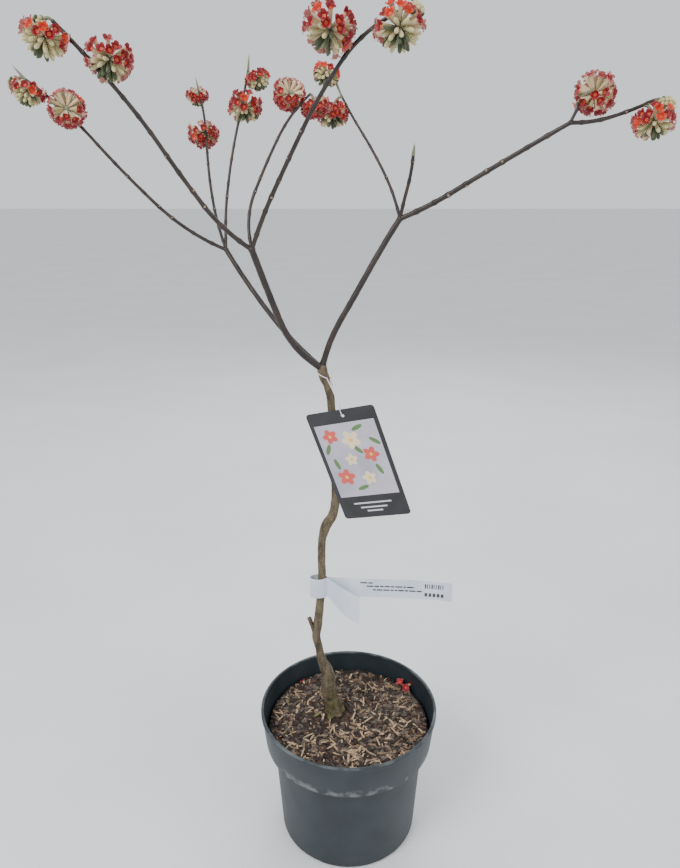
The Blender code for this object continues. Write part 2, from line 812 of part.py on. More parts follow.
def tag_frame():
    """Place and turn of the hang tag: its face looks along the local -Y."""
    return (
        Matrix.Translation(TAG_CENTRE)
        @ Matrix.Rotation(math.radians(TAG_YAW), 4, "Z")
        @ Matrix.Rotation(math.radians(TAG_TILT), 4, "X")
        @ Matrix.Rotation(math.radians(TAG_ROLL), 4, "Y")
    )


def build_tag(group, material):
    """Stiff card with rounded corners and a hole for its string."""
    curve = bpy.data.curves.new("hang_tag", "CURVE")
    curve.dimensions = "2D"
    curve.fill_mode = "BOTH"
    curve.extrude = TAG_THICKNESS / 2
    outline = []
    for sx, sy, start in ((1, 1, 0), (-1, 1, 90), (-1, -1, 180), (1, -1, 270)):
        centre = (sx * (TAG_WIDTH / 2 - TAG_CORNER), sy * (TAG_HEIGHT / 2 - TAG_CORNER))
        outline += arc(centre, TAG_CORNER, start, start + 90, 4)
    hole = arc(TAG_HOLE, TAG_HOLE_RADIUS, 0, 330, 11)
    for points in (outline, hole):
        spline = curve.splines.new("POLY")
        spline.points.add(len(points) - 1)
        spline.use_cyclic_u = True
        for knot, (x, y) in zip(spline.points, points):
            knot.co = (x, y, 0.0, 1.0)
    guide = new_object("hang_tag_guide", curve, group)
    mesh = evaluated_mesh(guide)
    bpy.data.objects.remove(guide, do_unlink=True)
    weld_outward(mesh, tag_frame() @ Matrix.Rotation(math.radians(90), 4, "X"))
    tag = new_object("hang_tag", mesh, group)
    finish_piece(tag, material, 40.0)


def build_string(group, material):
    """String that loops round the trunk's neck and through the tag's hole."""
    frame = tag_frame()
    rest = TAG_HOLE_RADIUS - STRING_RADIUS - GAP * 1.5
    stand = TAG_THICKNESS / 2 + STRING_RADIUS + GAP
    over = TAG_HEIGHT / 2 - TAG_HOLE[1] + STRING_RADIUS + GAP

    def on_tag(forward, rise):
        return frame @ Vector((TAG_HOLE[0], -forward, TAG_HOLE[1] + rise))

    opening = math.radians(STRING_LOOP_OPENING)
    loop = []
    for step in range(STRING_LOOP_STEPS + 1):
        angle = math.radians(STRING_LOOP_AZIMUTH) + opening / 2
        angle += (math.tau - opening) * step / STRING_LOOP_STEPS
        height = STRING_LOOP_HEIGHT - STRING_LOOP_LEAN * math.cos(angle)
        neck, neck_radius = trunk_place(height)
        radius = neck_radius * STRING_LOOP_SLACK + STRING_RADIUS + GAP
        loop.append(neck + Vector((math.cos(angle), math.sin(angle), 0.0)) * radius)
    front = [on_tag(stand * 1.2, over), on_tag(stand, rest + GAP * 2), on_tag(stand * 0.5, rest)]
    back = [on_tag(-stand * 0.5, rest), on_tag(-stand, rest + GAP * 2), on_tag(-stand * 1.6, over)]
    # The front strand crosses over the card's top edge, the back one stays behind it.
    down = strand(loop[-1], front[0] + Vector((0.0, 0.0, GAP * 4)), STRING_BOW)
    up = strand(back[-1], loop[0], -STRING_BOW)
    points = loop + down[1:] + front + back[:-1] + up[:-1]
    string = tube("tag_string", points, [STRING_RADIUS] * len(points), group, 1, cyclic=True)
    finish_piece(string, material, 60.0)


def strand(start, end, bow):
    """One strand of string between two points, bowed sideways a little."""
    side = Vector((0.6, -0.8, 0.0)) * bow
    points = []
    for step in range(STRING_STRAND_STEPS + 1):
        t = step / STRING_STRAND_STEPS
        points.append(start.lerp(end, t) + side * math.sin(math.pi * t))
    return points


def trunk_place(height):
    """Middle and radius of the trunk at a height."""
    for low, high in zip(TRUNK_STATIONS, TRUNK_STATIONS[1:]):
        if low[0] <= height <= high[0]:
            share = (height - low[0]) / (high[0] - low[0])
            values = [a + (b - a) * share for a, b in zip(low, high)]
            return Vector((values[1], values[2], values[0])), values[3]
    raise ValueError("height is outside the trunk")


def label_line():
    """Plan of the loop label, from its tail's end round the trunk to its head."""
    cx, cy = LABEL_LOOP_CENTRE
    rx, ry = LABEL_LOOP_RADII
    lock_x = cx + rx + 0.001
    line = []
    for step in range(LABEL_TAIL_STEPS + 1):
        share = step / LABEL_TAIL_STEPS
        x = LABEL_TAIL_END + (lock_x - LABEL_TAIL_END) * share
        swing = LABEL_TAIL_SWING * (1 - share) ** 1.5 - LABEL_TAIL_WAVE * math.sin(6 * share)
        line.append((x, cy + 2 * LABEL_THICKNESS - swing, "tail"))
    for step in range(LABEL_LOOP_STEPS + 1):
        turn = LABEL_LOCK_ANGLE + (360 - 2 * LABEL_LOCK_ANGLE) * step / LABEL_LOOP_STEPS
        angle = math.radians(turn)
        line.append((cx + rx * math.cos(angle), cy + ry * math.sin(angle), "loop"))
    for step in range(LABEL_HEAD_STEPS + 1):
        share = step / LABEL_HEAD_STEPS
        x = lock_x + (LABEL_HEAD_END - lock_x) * share
        swing = LABEL_HEAD_SWING * share + LABEL_HEAD_WAVE * math.sin(3 * share)
        line.append((x, cy - 0.0020 - swing, "head"))
    return line


def build_label(group, cutters, material):
    """Plastic loop label: a band round the trunk, a long tail and a slotted head."""
    line = label_line()
    lock_x = line[LABEL_TAIL_STEPS][0]
    form = bmesh.new()
    rows = []
    for x, y, part in line:
        low = LABEL_LEVEL - LABEL_WIDTH / 2
        high = LABEL_LEVEL + LABEL_WIDTH / 2
        if part == "tail":
            drop = LABEL_TAIL_DROP * (x - lock_x) / (LABEL_TAIL_END - lock_x)
            low, high = low - drop, high - drop
        if part == "head":
            share = (x - lock_x) / (LABEL_HEAD_END - lock_x)
            low -= LABEL_HEAD_DROP * share + LABEL_HEAD_GROWTH * min(1.0, 2 * share)
            high -= LABEL_HEAD_DROP * share * 0.9
        rows.append([form.verts.new((x, y, low)), form.verts.new((x, y, high))])
    for first, second in zip(rows, rows[1:]):
        form.faces.new((first[0], second[0], second[1], first[1]))
    mesh = bpy.data.meshes.new("loop_label")
    form.to_mesh(mesh)
    form.free()
    label = new_object("loop_label", mesh, group)
    shell = label.modifiers.new("thickness", "SOLIDIFY")
    shell.thickness = LABEL_THICKNESS
    shell.offset = 0.0
    hole = bmesh.new()
    bmesh.ops.create_cone(hole, cap_ends=True, segments=16, radius1=1.0, radius2=1.0, depth=0.02)
    scale = Matrix.Diagonal((LABEL_HEAD_HOLE_RADII[0], LABEL_HEAD_HOLE_RADII[1], 1.0, 1.0))
    lie = Matrix.Rotation(math.radians(90), 4, "X")
    place = Matrix.Translation((LABEL_HEAD_HOLE[0], -0.012, LABEL_HEAD_HOLE[1]))
    hole.transform(place @ lie @ scale)
    hole_mesh = bpy.data.meshes.new("label_hole")
    hole.to_mesh(hole_mesh)
    hole.free()
    add_cut(label, new_object("label_hole_cutter", hole_mesh, cutters))
    finish_piece(label, material, 40.0)


def main():
    clear_scene()
    parts = new_collection("potted_paperbush")
    cutters = new_collection("cutters")
    pot_plastic = make_material("pot_plastic", (0.045, 0.060, 0.068), 0.55)
    mix_chips = make_material("mix_chips", (0.16, 0.105, 0.075), 0.9)
    old_bark = make_material("old_bark", (0.15, 0.115, 0.065), 0.8)
    shoot_bark = make_material("shoot_bark", (0.055, 0.040, 0.033), 0.6)
    blossom = make_material("blossom", (0.62, 0.10, 0.07), 0.6)
    tag_card = make_material("tag_card", (0.03, 0.03, 0.035), 0.35)
    string_white = make_material("string_white", (0.80, 0.80, 0.78), 0.6)
    label_film = make_material("label_film", (0.82, 0.84, 0.88), 0.4)

    build_pot(parts, cutters, pot_plastic)
    build_potting_mix(parts, mix_chips)
    fork = build_trunk(parts, old_bark)
    forks = build_boughs(fork, parts, shoot_bark)

    lines = {}
    for name, shoot in SHOOTS.items():
        lines[name] = shoot_routes(shoot, forks[shoot["bough"]])
    for name in SHOOTS:
        others = []
        for other, routes in lines.items():
            if other != name:
                others += [(route, SHOOTS[other]["radii"][0]) for route in routes]
        build_shoot(name, forks[SHOOTS[name]["bough"]], others, parts, blossom)

    build_tag(parts, tag_card)
    build_string(parts, string_white)
    build_label(parts, cutters, label_film)


main()
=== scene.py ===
# %% [markdown]
# A paperbush flowers on bare stems at the end of winter. Its shoots are smooth
# and dark, with pale leaf scars, and each carries nodding heads of silky tubes
# that open in four small lobes. This lesson grows the plant on a fixed frame.

# %% Load the frame
import math
import random

import bpy
from mathutils import Matrix, Vector, noise


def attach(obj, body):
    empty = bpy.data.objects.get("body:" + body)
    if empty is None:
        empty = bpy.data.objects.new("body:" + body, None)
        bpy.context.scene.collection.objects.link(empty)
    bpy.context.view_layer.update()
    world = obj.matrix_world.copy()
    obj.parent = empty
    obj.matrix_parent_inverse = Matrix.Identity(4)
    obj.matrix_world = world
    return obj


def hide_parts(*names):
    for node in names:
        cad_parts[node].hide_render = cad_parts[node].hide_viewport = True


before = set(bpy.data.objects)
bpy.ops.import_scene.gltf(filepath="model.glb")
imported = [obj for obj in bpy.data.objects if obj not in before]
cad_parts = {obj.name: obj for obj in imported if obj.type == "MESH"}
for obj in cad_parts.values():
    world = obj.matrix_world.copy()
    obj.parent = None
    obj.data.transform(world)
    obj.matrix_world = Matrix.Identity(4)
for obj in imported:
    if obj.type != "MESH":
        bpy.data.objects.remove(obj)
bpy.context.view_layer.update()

MILLIMETRE = 0.001
SEED = 23
GOLDEN_ANGLE = math.pi * (3.0 - math.sqrt(5.0))


def put(name, data):
    """Add an object with the given data to the scene."""
    item = bpy.data.objects.new(name, data)
    bpy.context.scene.collection.objects.link(item)
    return item


# %% [markdown]
# The camera stands a little above the crown and looks down on the pot. Its
# place was worked out from the pot's rim, so it repeats the photograph's view.

# %% Camera
CAMERA_PLACE = (-0.01131609, -0.78891578, 0.8283)
CAMERA_PITCH = 18.832335
CAMERA_LENS = 30.0
CAMERA_SENSOR = 36.0

camera_data = bpy.data.cameras.new("camera")
camera_data.lens = CAMERA_LENS
camera_data.sensor_width = CAMERA_SENSOR
camera = put("camera", camera_data)
camera.location = CAMERA_PLACE
camera.rotation_euler = (math.radians(90.0 - CAMERA_PITCH), 0.0, 0.0)
bpy.context.scene.camera = camera
print("camera looks down", round(CAMERA_PITCH, 1), "degrees")

# %% [markdown]
# A cloudy sky lights the real plant from all sides. Here a bright world does
# that, and three large soft lamps give the stems a lit and a shaded side.

# %% Light
WORLD_COLOUR = (0.93, 0.95, 0.98, 1.0)
WORLD_STRENGTH = 1.0
# Name, place, width and power of each lamp.
LAMPS = (
    ("key", (-1.5, -1.6, 2.4), 1.2, 64.0),
    ("fill", (1.9, -1.3, 1.5), 2.0, 22.0),
    ("back", (0.4, 1.9, 2.0), 1.6, 26.0),
)
LAMP_TARGET = Vector((0.0, 0.0, 0.5))

world = bpy.data.worlds.new("sky")
world.use_nodes = True
background = world.node_tree.nodes["Background"]
background.inputs["Color"].default_value = WORLD_COLOUR
background.inputs["Strength"].default_value = WORLD_STRENGTH
bpy.context.scene.world = world
for name, place, size, energy in LAMPS:
    lamp_data = bpy.data.lights.new(name, "AREA")
    lamp_data.size = size
    lamp_data.energy = energy
    lamp = put(name, lamp_data)
    lamp.location = place
    lamp.rotation_euler = (LAMP_TARGET - lamp.location).to_track_quat("-Z", "Y").to_euler()
print("lamps", len(LAMPS))

# %% [markdown]
# Effects that several surfaces share are node groups: a mottled colour, pale
# specks, a band between two heights, and a fine grain for the normal. Each is
# built once and placed in a material with that material's own values.

# %% Shader group tools
NUMBER = "NodeSocketFloat"
COLOUR = "NodeSocketColor"
# Sockets of a colour mix, which share their labels and so go by number.
MIX_SHARE = 0
MIX_FIRST = 6
MIX_SECOND = 7
MIX_RESULT = 2


def new_group(name, inputs, outputs):
    """Make a shader node group with its sockets and end nodes."""
    tree = bpy.data.node_groups.new(name, "ShaderNodeTree")
    for label, kind, value in inputs:
        socket = tree.interface.new_socket(label, in_out="INPUT", socket_type=kind)
        socket.default_value = value
    for label, kind in outputs:
        tree.interface.new_socket(label, in_out="OUTPUT", socket_type=kind)
    return tree, tree.nodes.new("NodeGroupInput"), tree.nodes.new("NodeGroupOutput")


def add_node(tree, kind, values=None, operation=None):
    """Add a shader node and set its operation and inputs."""
    item = tree.nodes.new("ShaderNode" + kind)
    if operation:
        item.operation = operation
    for label, value in (values or {}).items():
        item.inputs[label].default_value = value
    return item


def colour_mix(tree):
    """Add a node that mixes two colours."""
    item = tree.nodes.new("ShaderNodeMix")
    item.data_type = "RGBA"
    return item


def wire(tree, *links):
    """Link nodes: each link is a node, its output, the next node and its input."""
    for source, output, target, entry in links:
        tree.links.new(source.outputs[output], target.inputs[entry])


# %% [markdown]
# Bark, plastic and chips are never one flat colour. A picture could give that,
# but a noise in the object's own space has no seam and needs no unwrapping. A
# stretch below one draws the noise out along the stem, as bark is.

# %% Mottle
MOTTLE_EDGES = {"From Min": 0.36, "From Max": 0.64}


def mottle_group():
    """Two colours mixed by a noise of the object's own space."""
    tree, given, result = new_group(
        "mottle",
        (
            ("Scale", NUMBER, 60.0),
            ("Stretch", NUMBER, 1.0),
            ("First", COLOUR, (0.1, 0.1, 0.1, 1.0)),
            ("Second", COLOUR, (0.2, 0.2, 0.2, 1.0)),
        ),
        (("Colour", COLOUR),),
    )
    place = add_node(tree, "TexCoord")
    stretch = add_node(tree, "CombineXYZ", {"X": 1.0, "Y": 1.0})
    scaled = add_node(tree, "VectorMath", operation="MULTIPLY")
    cloud = add_node(tree, "TexNoise", {"Detail": 6.0})
    share = add_node(tree, "MapRange", MOTTLE_EDGES)
    mix = colour_mix(tree)
    wire(
        tree,
        (given, "Stretch", stretch, "Z"),
        (place, "Object", scaled, 0),
        (stretch, "Vector", scaled, 1),
        (scaled, "Vector", cloud, "Vector"),
        (given, "Scale", cloud, "Scale"),
        (cloud, "Fac", share, "Value"),
        (share, "Result", mix, MIX_SHARE),
        (given, "First", mix, MIX_FIRST),
        (given, "Second", mix, MIX_SECOND),
        (mix, MIX_RESULT, result, "Colour"),
    )
    return tree


MOTTLE = mottle_group()
print("mottle group", len(MOTTLE.nodes), "nodes")

# %% [markdown]
# Pores in bark are small and scattered, so cells of a Voronoi texture give
# them: a point close to a cell's middle is in the mark.

# %% Specks


def speck_group():
    """Mask of small scattered specks, such as the pores of bark."""
    tree, given, result = new_group(
        "specks",
        (("Scale", NUMBER, 300.0), ("Size", NUMBER, 0.2)),
        (("Mask", NUMBER),),
    )
    place = add_node(tree, "TexCoord")
    cells = add_node(tree, "TexVoronoi")
    below = add_node(tree, "Math", operation="LESS_THAN")
    wire(
        tree,
        (place, "Object", cells, "Vector"),
        (given, "Scale", cells, "Scale"),
        (cells, "Distance", below, 0),
        (given, "Size", below, 1),
        (below, "Value", result, "Mask"),
    )
    return tree


SPECKS = speck_group()
print("speck group", len(SPECKS.nodes), "nodes")

# %% [markdown]
# Moss on the trunk's foot, scuffs on the pot's collar and a painted highlight
# along the pot's lip keep to a height. A mask that fades with the distance
# from that height, broken up by a noise, puts them there without a picture.

# %% Height band
PATCH_EDGES = {"From Min": 0.46, "From Max": 0.62}


def band_group():
    """Mask that fades in and out again round a height, broken by noise."""
    tree, given, result = new_group(
        "height_band",
        (
            ("Height", NUMBER, 0.1),
            ("Half Width", NUMBER, 0.01),
            ("Scale", NUMBER, 60.0),
        ),
        (("Mask", NUMBER),),
    )
    place = add_node(tree, "TexCoord")
    parts = add_node(tree, "SeparateXYZ")
    away = add_node(tree, "Math", operation="SUBTRACT")
    size = add_node(tree, "Math", operation="ABSOLUTE")
    share = add_node(tree, "Math", operation="DIVIDE")
    near = add_node(tree, "Math", {0: 1.0}, "SUBTRACT")
    near.use_clamp = True
    cloud = add_node(tree, "TexNoise", {"Detail": 5.0})
    patch = add_node(tree, "MapRange", PATCH_EDGES)
    both = add_node(tree, "Math", operation="MULTIPLY")
    wire(
        tree,
        (place, "Object", parts, "Vector"),
        (parts, "Z", away, 0),
        (given, "Height", away, 1),
        (away, "Value", size, 0),
        (size, "Value", share, 0),
        (given, "Half Width", share, 1),
        (share, "Value", near, 1),
        (place, "Object", cloud, "Vector"),
        (given, "Scale", cloud, "Scale"),
        (cloud, "Fac", patch, "Value"),
        (near, "Value", both, 0),
        (patch, "Result", both, 1),
        (both, "Value", result, "Mask"),
    )
    return tree


BAND = band_group()
print("band group", len(BAND.nodes), "nodes")

# %% [markdown]
# The finest grain would need too many faces, so it goes into the normal.

# %% Grain


def grain_group():
    """Normal with a fine grain."""
    tree, given, result = new_group(
        "grain",
        (("Scale", NUMBER, 400.0), ("Depth", NUMBER, 0.0003)),
        (("Normal", "NodeSocketVector"),),
    )
    place = add_node(tree, "TexCoord")
    cloud = add_node(tree, "TexNoise", {"Detail": 4.0})
    bump = add_node(tree, "Bump")
    wire(
        tree,
        (place, "Object", cloud, "Vector"),
        (given, "Scale", cloud, "Scale"),
        (cloud, "Fac", bump, "Height"),
        (given, "Depth", bump, "Distance"),
        (bump, "Normal", result, "Normal"),
    )
    return tree


GRAIN = grain_group()
print("grain group", len(GRAIN.nodes), "nodes")

# %% [markdown]
# Each material keeps its own Principled shader. Bark, plastic and mix get a
# mottled colour, marks and a grain. Petals are plain colours with a silky
# sheen, and their differences come from many small pieces of a few colours.

# %% Material tools


def use_group(tree, group, values):
    """Place a node group and set its inputs."""
    item = tree.nodes.new("ShaderNodeGroup")
    item.node_tree = group
    for label, value in values.items():
        item.inputs[label].default_value = value
    return item


def plain(name, colour, roughness, sheen=0.0):
    """Material of one colour."""
    material = bpy.data.materials.new(name)
    material.use_nodes = True
    shader = material.node_tree.nodes["Principled BSDF"]
    shader.inputs["Base Color"].default_value = (*colour, 1.0)
    shader.inputs["Roughness"].default_value = roughness
    shader.inputs["Sheen Weight"].default_value = sheen
    return material


def mottled(name, first, second, scale, roughness, grain, depth, stretch=1.0):
    """Material with a mottled colour and a fine grain."""
    material = plain(name, first, roughness)
    tree = material.node_tree
    shader = tree.nodes["Principled BSDF"]
    colours = use_group(tree, MOTTLE, {
        "Scale": scale,
        "Stretch": stretch,
        "First": (*first, 1.0),
        "Second": (*second, 1.0),
    })
    surface = use_group(tree, GRAIN, {"Scale": grain, "Depth": depth})
    wire(
        tree,
        (colours, "Colour", shader, "Base Color"),
        (surface, "Normal", shader, "Normal"),
    )
    return material


def mark(material, group, values, colour):
    """Lay a colour over a material where a group's mask says so."""
    tree = material.node_tree
    shader = tree.nodes["Principled BSDF"]
    before = shader.inputs["Base Color"].links[0].from_socket
    mask = use_group(tree, group, values)
    mix = colour_mix(tree)
    mix.inputs[MIX_SECOND].default_value = (*colour, 1.0)
    tree.links.new(before, mix.inputs[MIX_FIRST])
    wire(
        tree,
        (mask, "Mask", mix, MIX_SHARE),
        (mix, MIX_RESULT, shader, "Base Color"),
    )


# %% [markdown]
# The finishes are kept in tables, so that they can be compared at a glance.
# Colours are linear, which is why the dark bark's numbers are so small.

# %% Materials
# Two colours, mottle scale, roughness, grain scale, grain depth and stretch.
MOTTLED = {
    "old_bark": ((0.048, 0.035, 0.020), (0.130, 0.100, 0.058), 160.0, 0.8, 900.0, 0.0006, 0.35),
    "young_bark": ((0.009, 0.005, 0.004), (0.030, 0.017, 0.012), 120.0, 0.45, 700.0, 0.0002, 0.3),
    "pot_plastic": ((0.011, 0.018, 0.023), (0.019, 0.028, 0.034), 26.0, 0.52, 1500.0, 0.00008),
    "mix_ground": ((0.014, 0.008, 0.006), (0.060, 0.037, 0.025), 190.0, 0.95, 800.0, 0.001),
    "string_white": ((0.80, 0.80, 0.77), (0.62, 0.62, 0.60), 900.0, 0.7, 2500.0, 0.0002),
    "label_film": ((0.66, 0.70, 0.78), (0.52, 0.57, 0.67), 22.0, 0.32, 300.0, 0.0002),
    "tag_card": ((0.012, 0.012, 0.014), (0.024, 0.024, 0.028), 30.0, 0.34, 900.0, 0.00003),
    "tag_panel": ((0.52, 0.50, 0.57), (0.36, 0.34, 0.42), 16.0, 0.36, 900.0, 0.00003),
}
# Colour, roughness and, for silky surfaces, sheen.
PLAIN = {
    "leaf_scar": ((0.24, 0.185, 0.13), 0.8),
    "stalk_silk": ((0.15, 0.16, 0.09), 0.6, 0.3),
    "tube_cream": ((0.62, 0.49, 0.29), 0.55, 0.3),
    "tube_green": ((0.38, 0.34, 0.16), 0.55, 0.3),
    "lobe_crimson": ((0.22, 0.0005, 0.006), 0.55),
    "lobe_scarlet": ((0.52, 0.026, 0.004), 0.55),
    "lobe_back": ((0.62, 0.24, 0.21), 0.55, 0.3),
    "throat_orange": ((0.50, 0.060, 0.005), 0.55),
    "bud_cream": ((0.50, 0.44, 0.21), 0.55, 0.3),
    # Closed buds: their own green, darkened further by painted shade.
    "bud_green": ((0.050, 0.066, 0.022), 0.6, 0.2),
    "tag_green": ((0.10, 0.19, 0.06), 0.4),
    "tag_coral": ((0.62, 0.09, 0.07), 0.4),
    "tag_cream": ((0.78, 0.66, 0.44), 0.4),
    "tag_yellow": ((0.80, 0.48, 0.08), 0.4),
    "tag_pale": ((0.60, 0.60, 0.62), 0.4),
    "label_ink": ((0.045, 0.045, 0.055), 0.5),
}
# Material, group, the group's values and the colour of the mark: pores and moss
# on the trunk, pores on the shoots, scuffs on the pot's collar, and a painted
# highlight along its lip.
MARKS = (
    ("old_bark", SPECKS, {"Scale": 330.0, "Size": 0.17}, (0.24, 0.20, 0.14)),
    ("old_bark", BAND, {"Height": 0.165, "Half Width": 0.045, "Scale": 110.0}, (0.11, 0.10, 0.028)),
    ("young_bark", SPECKS, {"Scale": 520.0, "Size": 0.12}, (0.13, 0.09, 0.06)),
    ("pot_plastic", BAND, {"Height": 0.1395, "Half Width": 0.009, "Scale": 95.0}, (0.13, 0.14, 0.14)),
    # Painted highlight: a pale broken band along the top of the rolled lip.
    ("pot_plastic", BAND, {"Height": 0.183, "Half Width": 0.0022, "Scale": 30.0}, (0.11, 0.13, 0.14)),
)

materials = {name: mottled(name, *finish) for name, finish in MOTTLED.items()}
materials.update({name: plain(name, *finish) for name, finish in PLAIN.items()})
for name, group, values, colour in MARKS:
    mark(materials[name], group, values, colour)
print("materials", len(materials))

# %% [markdown]
# Hundreds of florets as hundreds of objects would be slow to handle. Meshes
# are collected in piles instead, one for each colour or kind, so that the
# whole plant becomes a few joined pieces.

# %% Piles


class Pile:
    """Points and faces that become one object."""

    def __init__(self):
        self.points = []
        self.faces = []

    def add(self, points, faces):
        """Append a small mesh."""
        base = len(self.points)
        self.points.extend(points)
        self.faces.extend(tuple(base + index for index in face) for face in faces)

    def make(self, name, material, slot, nodes, smooth=True):
        """Turn the pile into an object that rides on the frame."""
        mesh = bpy.data.meshes.new(name)
        mesh.from_pydata(self.points, [], self.faces)
        mesh.materials.append(material)
        if smooth:
            mesh.shade_smooth()
        item = put(name, mesh)
        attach(item, "root")
        if nodes:
            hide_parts(*nodes)
        print(name, len(self.faces), "faces")
        return item


# %% [markdown]
# A limb is a line of points first. Its heading turns evenly between a few
# given ones, by the same rule as the solids' limbs, so that a branch keeps a
# smooth sweep with few numbers.

# %% Routes
ROUTE_STEPS = 60


def heading(azimuth, elevation):
    """Unit vector for an azimuth and an elevation in degrees."""
    turn = math.radians(azimuth)
    rise = math.radians(elevation)
    return Vector((
        math.cos(rise) * math.cos(turn),
        math.cos(rise) * math.sin(turn),
        math.sin(rise),
    ))


def limb_route(start, headings, length):
    """Points along a limb whose heading turns evenly between the given ones."""
    points = [Vector(start)]
    spans = len(headings) - 1
    for step in range(ROUTE_STEPS):
        place = (step + 0.5) / ROUTE_STEPS * spans
        first = min(int(place), spans - 1)
        share = place - first
        azimuth = headings[first][0] * (1 - share) + headings[first + 1][0] * share
        elevation = headings[first][1] * (1 - share) + headings[first + 1][1] * share
        points.append(points[-1] + heading(azimuth, elevation) * (length / ROUTE_STEPS))
    return points


def route_length(route):
    """Length of a line of points."""
    return sum((b - a).length for a, b in zip(route, route[1:]))


def point_on(route, distance):
    """Point at a distance along a line of points."""
    for a, b in zip(route, route[1:]):
        span = (b - a).length
        if distance <= span:
            return a.lerp(b, distance / span)
        distance -= span
    return route[-1].copy()


# %% [markdown]
# Rings of points go round the line, and faces join them. Each ring takes its
# side from the one before, so that the skin doesn't twist in a bend.

# %% Limbs


def circle(radius, height, sides):
    """Points round a level circle."""
    points = []
    for side in range(sides):
        angle = math.tau * side / sides
        points.append(Vector((radius * math.cos(angle), radius * math.sin(angle), height)))
    return points


def ring_faces(rows, sides, first_cap=True, last_cap=True):
    """Faces that join rows of points round a limb, with a fan at each end."""
    faces = []
    for row in range(rows - 1):
        for side in range(sides):
            after = (side + 1) % sides
            faces.append((
                row * sides + side,
                row * sides + after,
                (row + 1) * sides + after,
                (row + 1) * sides + side,
            ))
    if first_cap:
        faces.append(tuple(range(sides))[::-1])
    if last_cap:
        faces.append(tuple((rows - 1) * sides + side for side in range(sides)))
    return faces


def limb(pile, route, radius_at, sides, step):
    """Round limb along a route, its radius a function of distance, angle and place."""
    total = route_length(route)
    count = max(2, round(total / step))
    side = Vector((0.0, 1.0, 0.0))
    points = []
    for index in range(count + 1):
        distance = total * index / count
        centre = point_on(route, distance)
        ahead = point_on(route, min(total, distance + step))
        behind = point_on(route, max(0.0, distance - step))
        along = (ahead - behind).normalized()
        side = (side - along * side.dot(along)).normalized()
        other = along.cross(side)
        for turn in range(sides):
            angle = math.tau * turn / sides
            radius = radius_at(distance, angle, centre)
            points.append(centre + (side * math.cos(angle) + other * math.sin(angle)) * radius)
    pile.add(points, ring_faces(count + 1, sides))


# %% [markdown]
# Bark is ridged along the stem, and each fork is a little swollen. Real relief
# goes into the mesh here, since a bump alone would leave the outline smooth.

# %% Bark relief
FINE_RELIEF = 0.5
FINE_RELIEF_SCALE = 2.7
FORK_SWELLING = 1.14
KNUCKLE_RINGS = 8
KNUCKLE_SIDES = 18
KNUCKLE_LUMPS = 0.06
KNUCKLE_LUMP_SCALE = 90


def bark_relief(distance, angle, depth, ridges, slope):
    """Ridges and small lumps of bark, as a share of the radius."""
    around = Vector((math.cos(angle) * ridges, math.sin(angle) * ridges, distance * slope))
    fine = noise.noise(around * FINE_RELIEF_SCALE)
    return depth * (noise.noise(around) + FINE_RELIEF * fine)


def knuckle(pile, centre, radius):
    """Rounded swelling at a fork or in the middle of a head."""
    points = []
    for ring in range(1, KNUCKLE_RINGS):
        tilt = math.pi * ring / KNUCKLE_RINGS
        for side in range(KNUCKLE_SIDES):
            angle = math.tau * side / KNUCKLE_SIDES
            lump = noise.noise(Vector((ring, side, centre.x * KNUCKLE_LUMP_SCALE)))
            points.append(centre + Vector((
                math.sin(tilt) * math.cos(angle),
                math.sin(tilt) * math.sin(angle),
                -math.cos(tilt),
            )) * (radius * (1.0 + KNUCKLE_LUMPS * lump)))
    pile.add(points, ring_faces(KNUCKLE_RINGS - 1, KNUCKLE_SIDES))


# %% [markdown]
# The trunk leans and kinks where old shoots were cut back. Its bark is olive
# brown, with a flared foot. Stations up the stem give its line and its
# thickness, and a smooth curve through them takes the corners off.

# %% Trunk
# Height, x, y and radius, from the potting mix up to the fork.
TRUNK_STATIONS = (
    (0.159, -0.018, 0.0125, 0.0125),
    (0.167, -0.0195, 0.0125, 0.0104),
    (0.181, -0.023, 0.0120, 0.0094),
    (0.196, -0.026, 0.0115, 0.0097),
    (0.223, -0.0275, 0.0110, 0.0083),
    (0.244, -0.035, 0.0105, 0.0059),
    (0.263, -0.0385, 0.0100, 0.0049),
    (0.282, -0.042, 0.0095, 0.0053),
    (0.301, -0.0395, 0.0090, 0.0057),
    (0.326, -0.037, 0.0085, 0.0051),
    (0.361, -0.034, 0.0080, 0.0048),
    (0.401, -0.034, 0.0070, 0.0048),
    (0.421, -0.033, 0.0060, 0.0050),
    (0.435, -0.0298, 0.0060, 0.0057),
    (0.445, -0.0258, 0.0055, 0.0061),
    (0.453, -0.0208, 0.0050, 0.0057),
    (0.469, -0.0173, 0.0050, 0.0051),
    (0.491, -0.017, 0.0045, 0.0047),
    (0.551, -0.019, 0.0025, 0.0046),
    (0.596, -0.0215, 0.0015, 0.0045),
    (0.616, -0.0245, 0.0005, 0.0050),
    (0.6265, -0.029, 0.0005, 0.0055),
    (0.637, -0.0314, 0.0000, 0.0056),
)
STUB_START = (-0.0425, 0.0095, 0.282)
STUB_END = (-0.0505, 0.0080, 0.309)
STUB_RADIUS = 0.0027
STUB_RELIEF = (0.12, 2.0, 160.0)
STUB_SIDES = 18
STUB_STEP = 0.001
FLARE_TOP = TRUNK_STATIONS[3][0]
GROUND_LEVEL = TRUNK_STATIONS[0][0]
FOOT_LEVEL = GROUND_LEVEL - 0.001
FOOT_LOBES = 5
FOOT_LOBE_DEPTH = 0.18
GROOVE = 0.10
FOOT_GROOVE = 0.10
FOOT_GROOVE_REACH = 0.10
TRUNK_RIDGES = (2.6, 120.0)
TRUNK_SIDES = 44
TRUNK_STEP = 0.0012
TRUNK_KNUCKLE = 1.03
STATION_STEPS = 6
LEAST_RISE = 1e-6


def curve_value(values, share):
    """Smooth value between the middle two of four."""
    before, first, second, after = values
    return 0.5 * (
        2 * first
        + (second - before) * share
        + (2 * before - 5 * first + 4 * second - after) * share ** 2
        + (3 * first - before - 3 * second + after) * share ** 3
    )


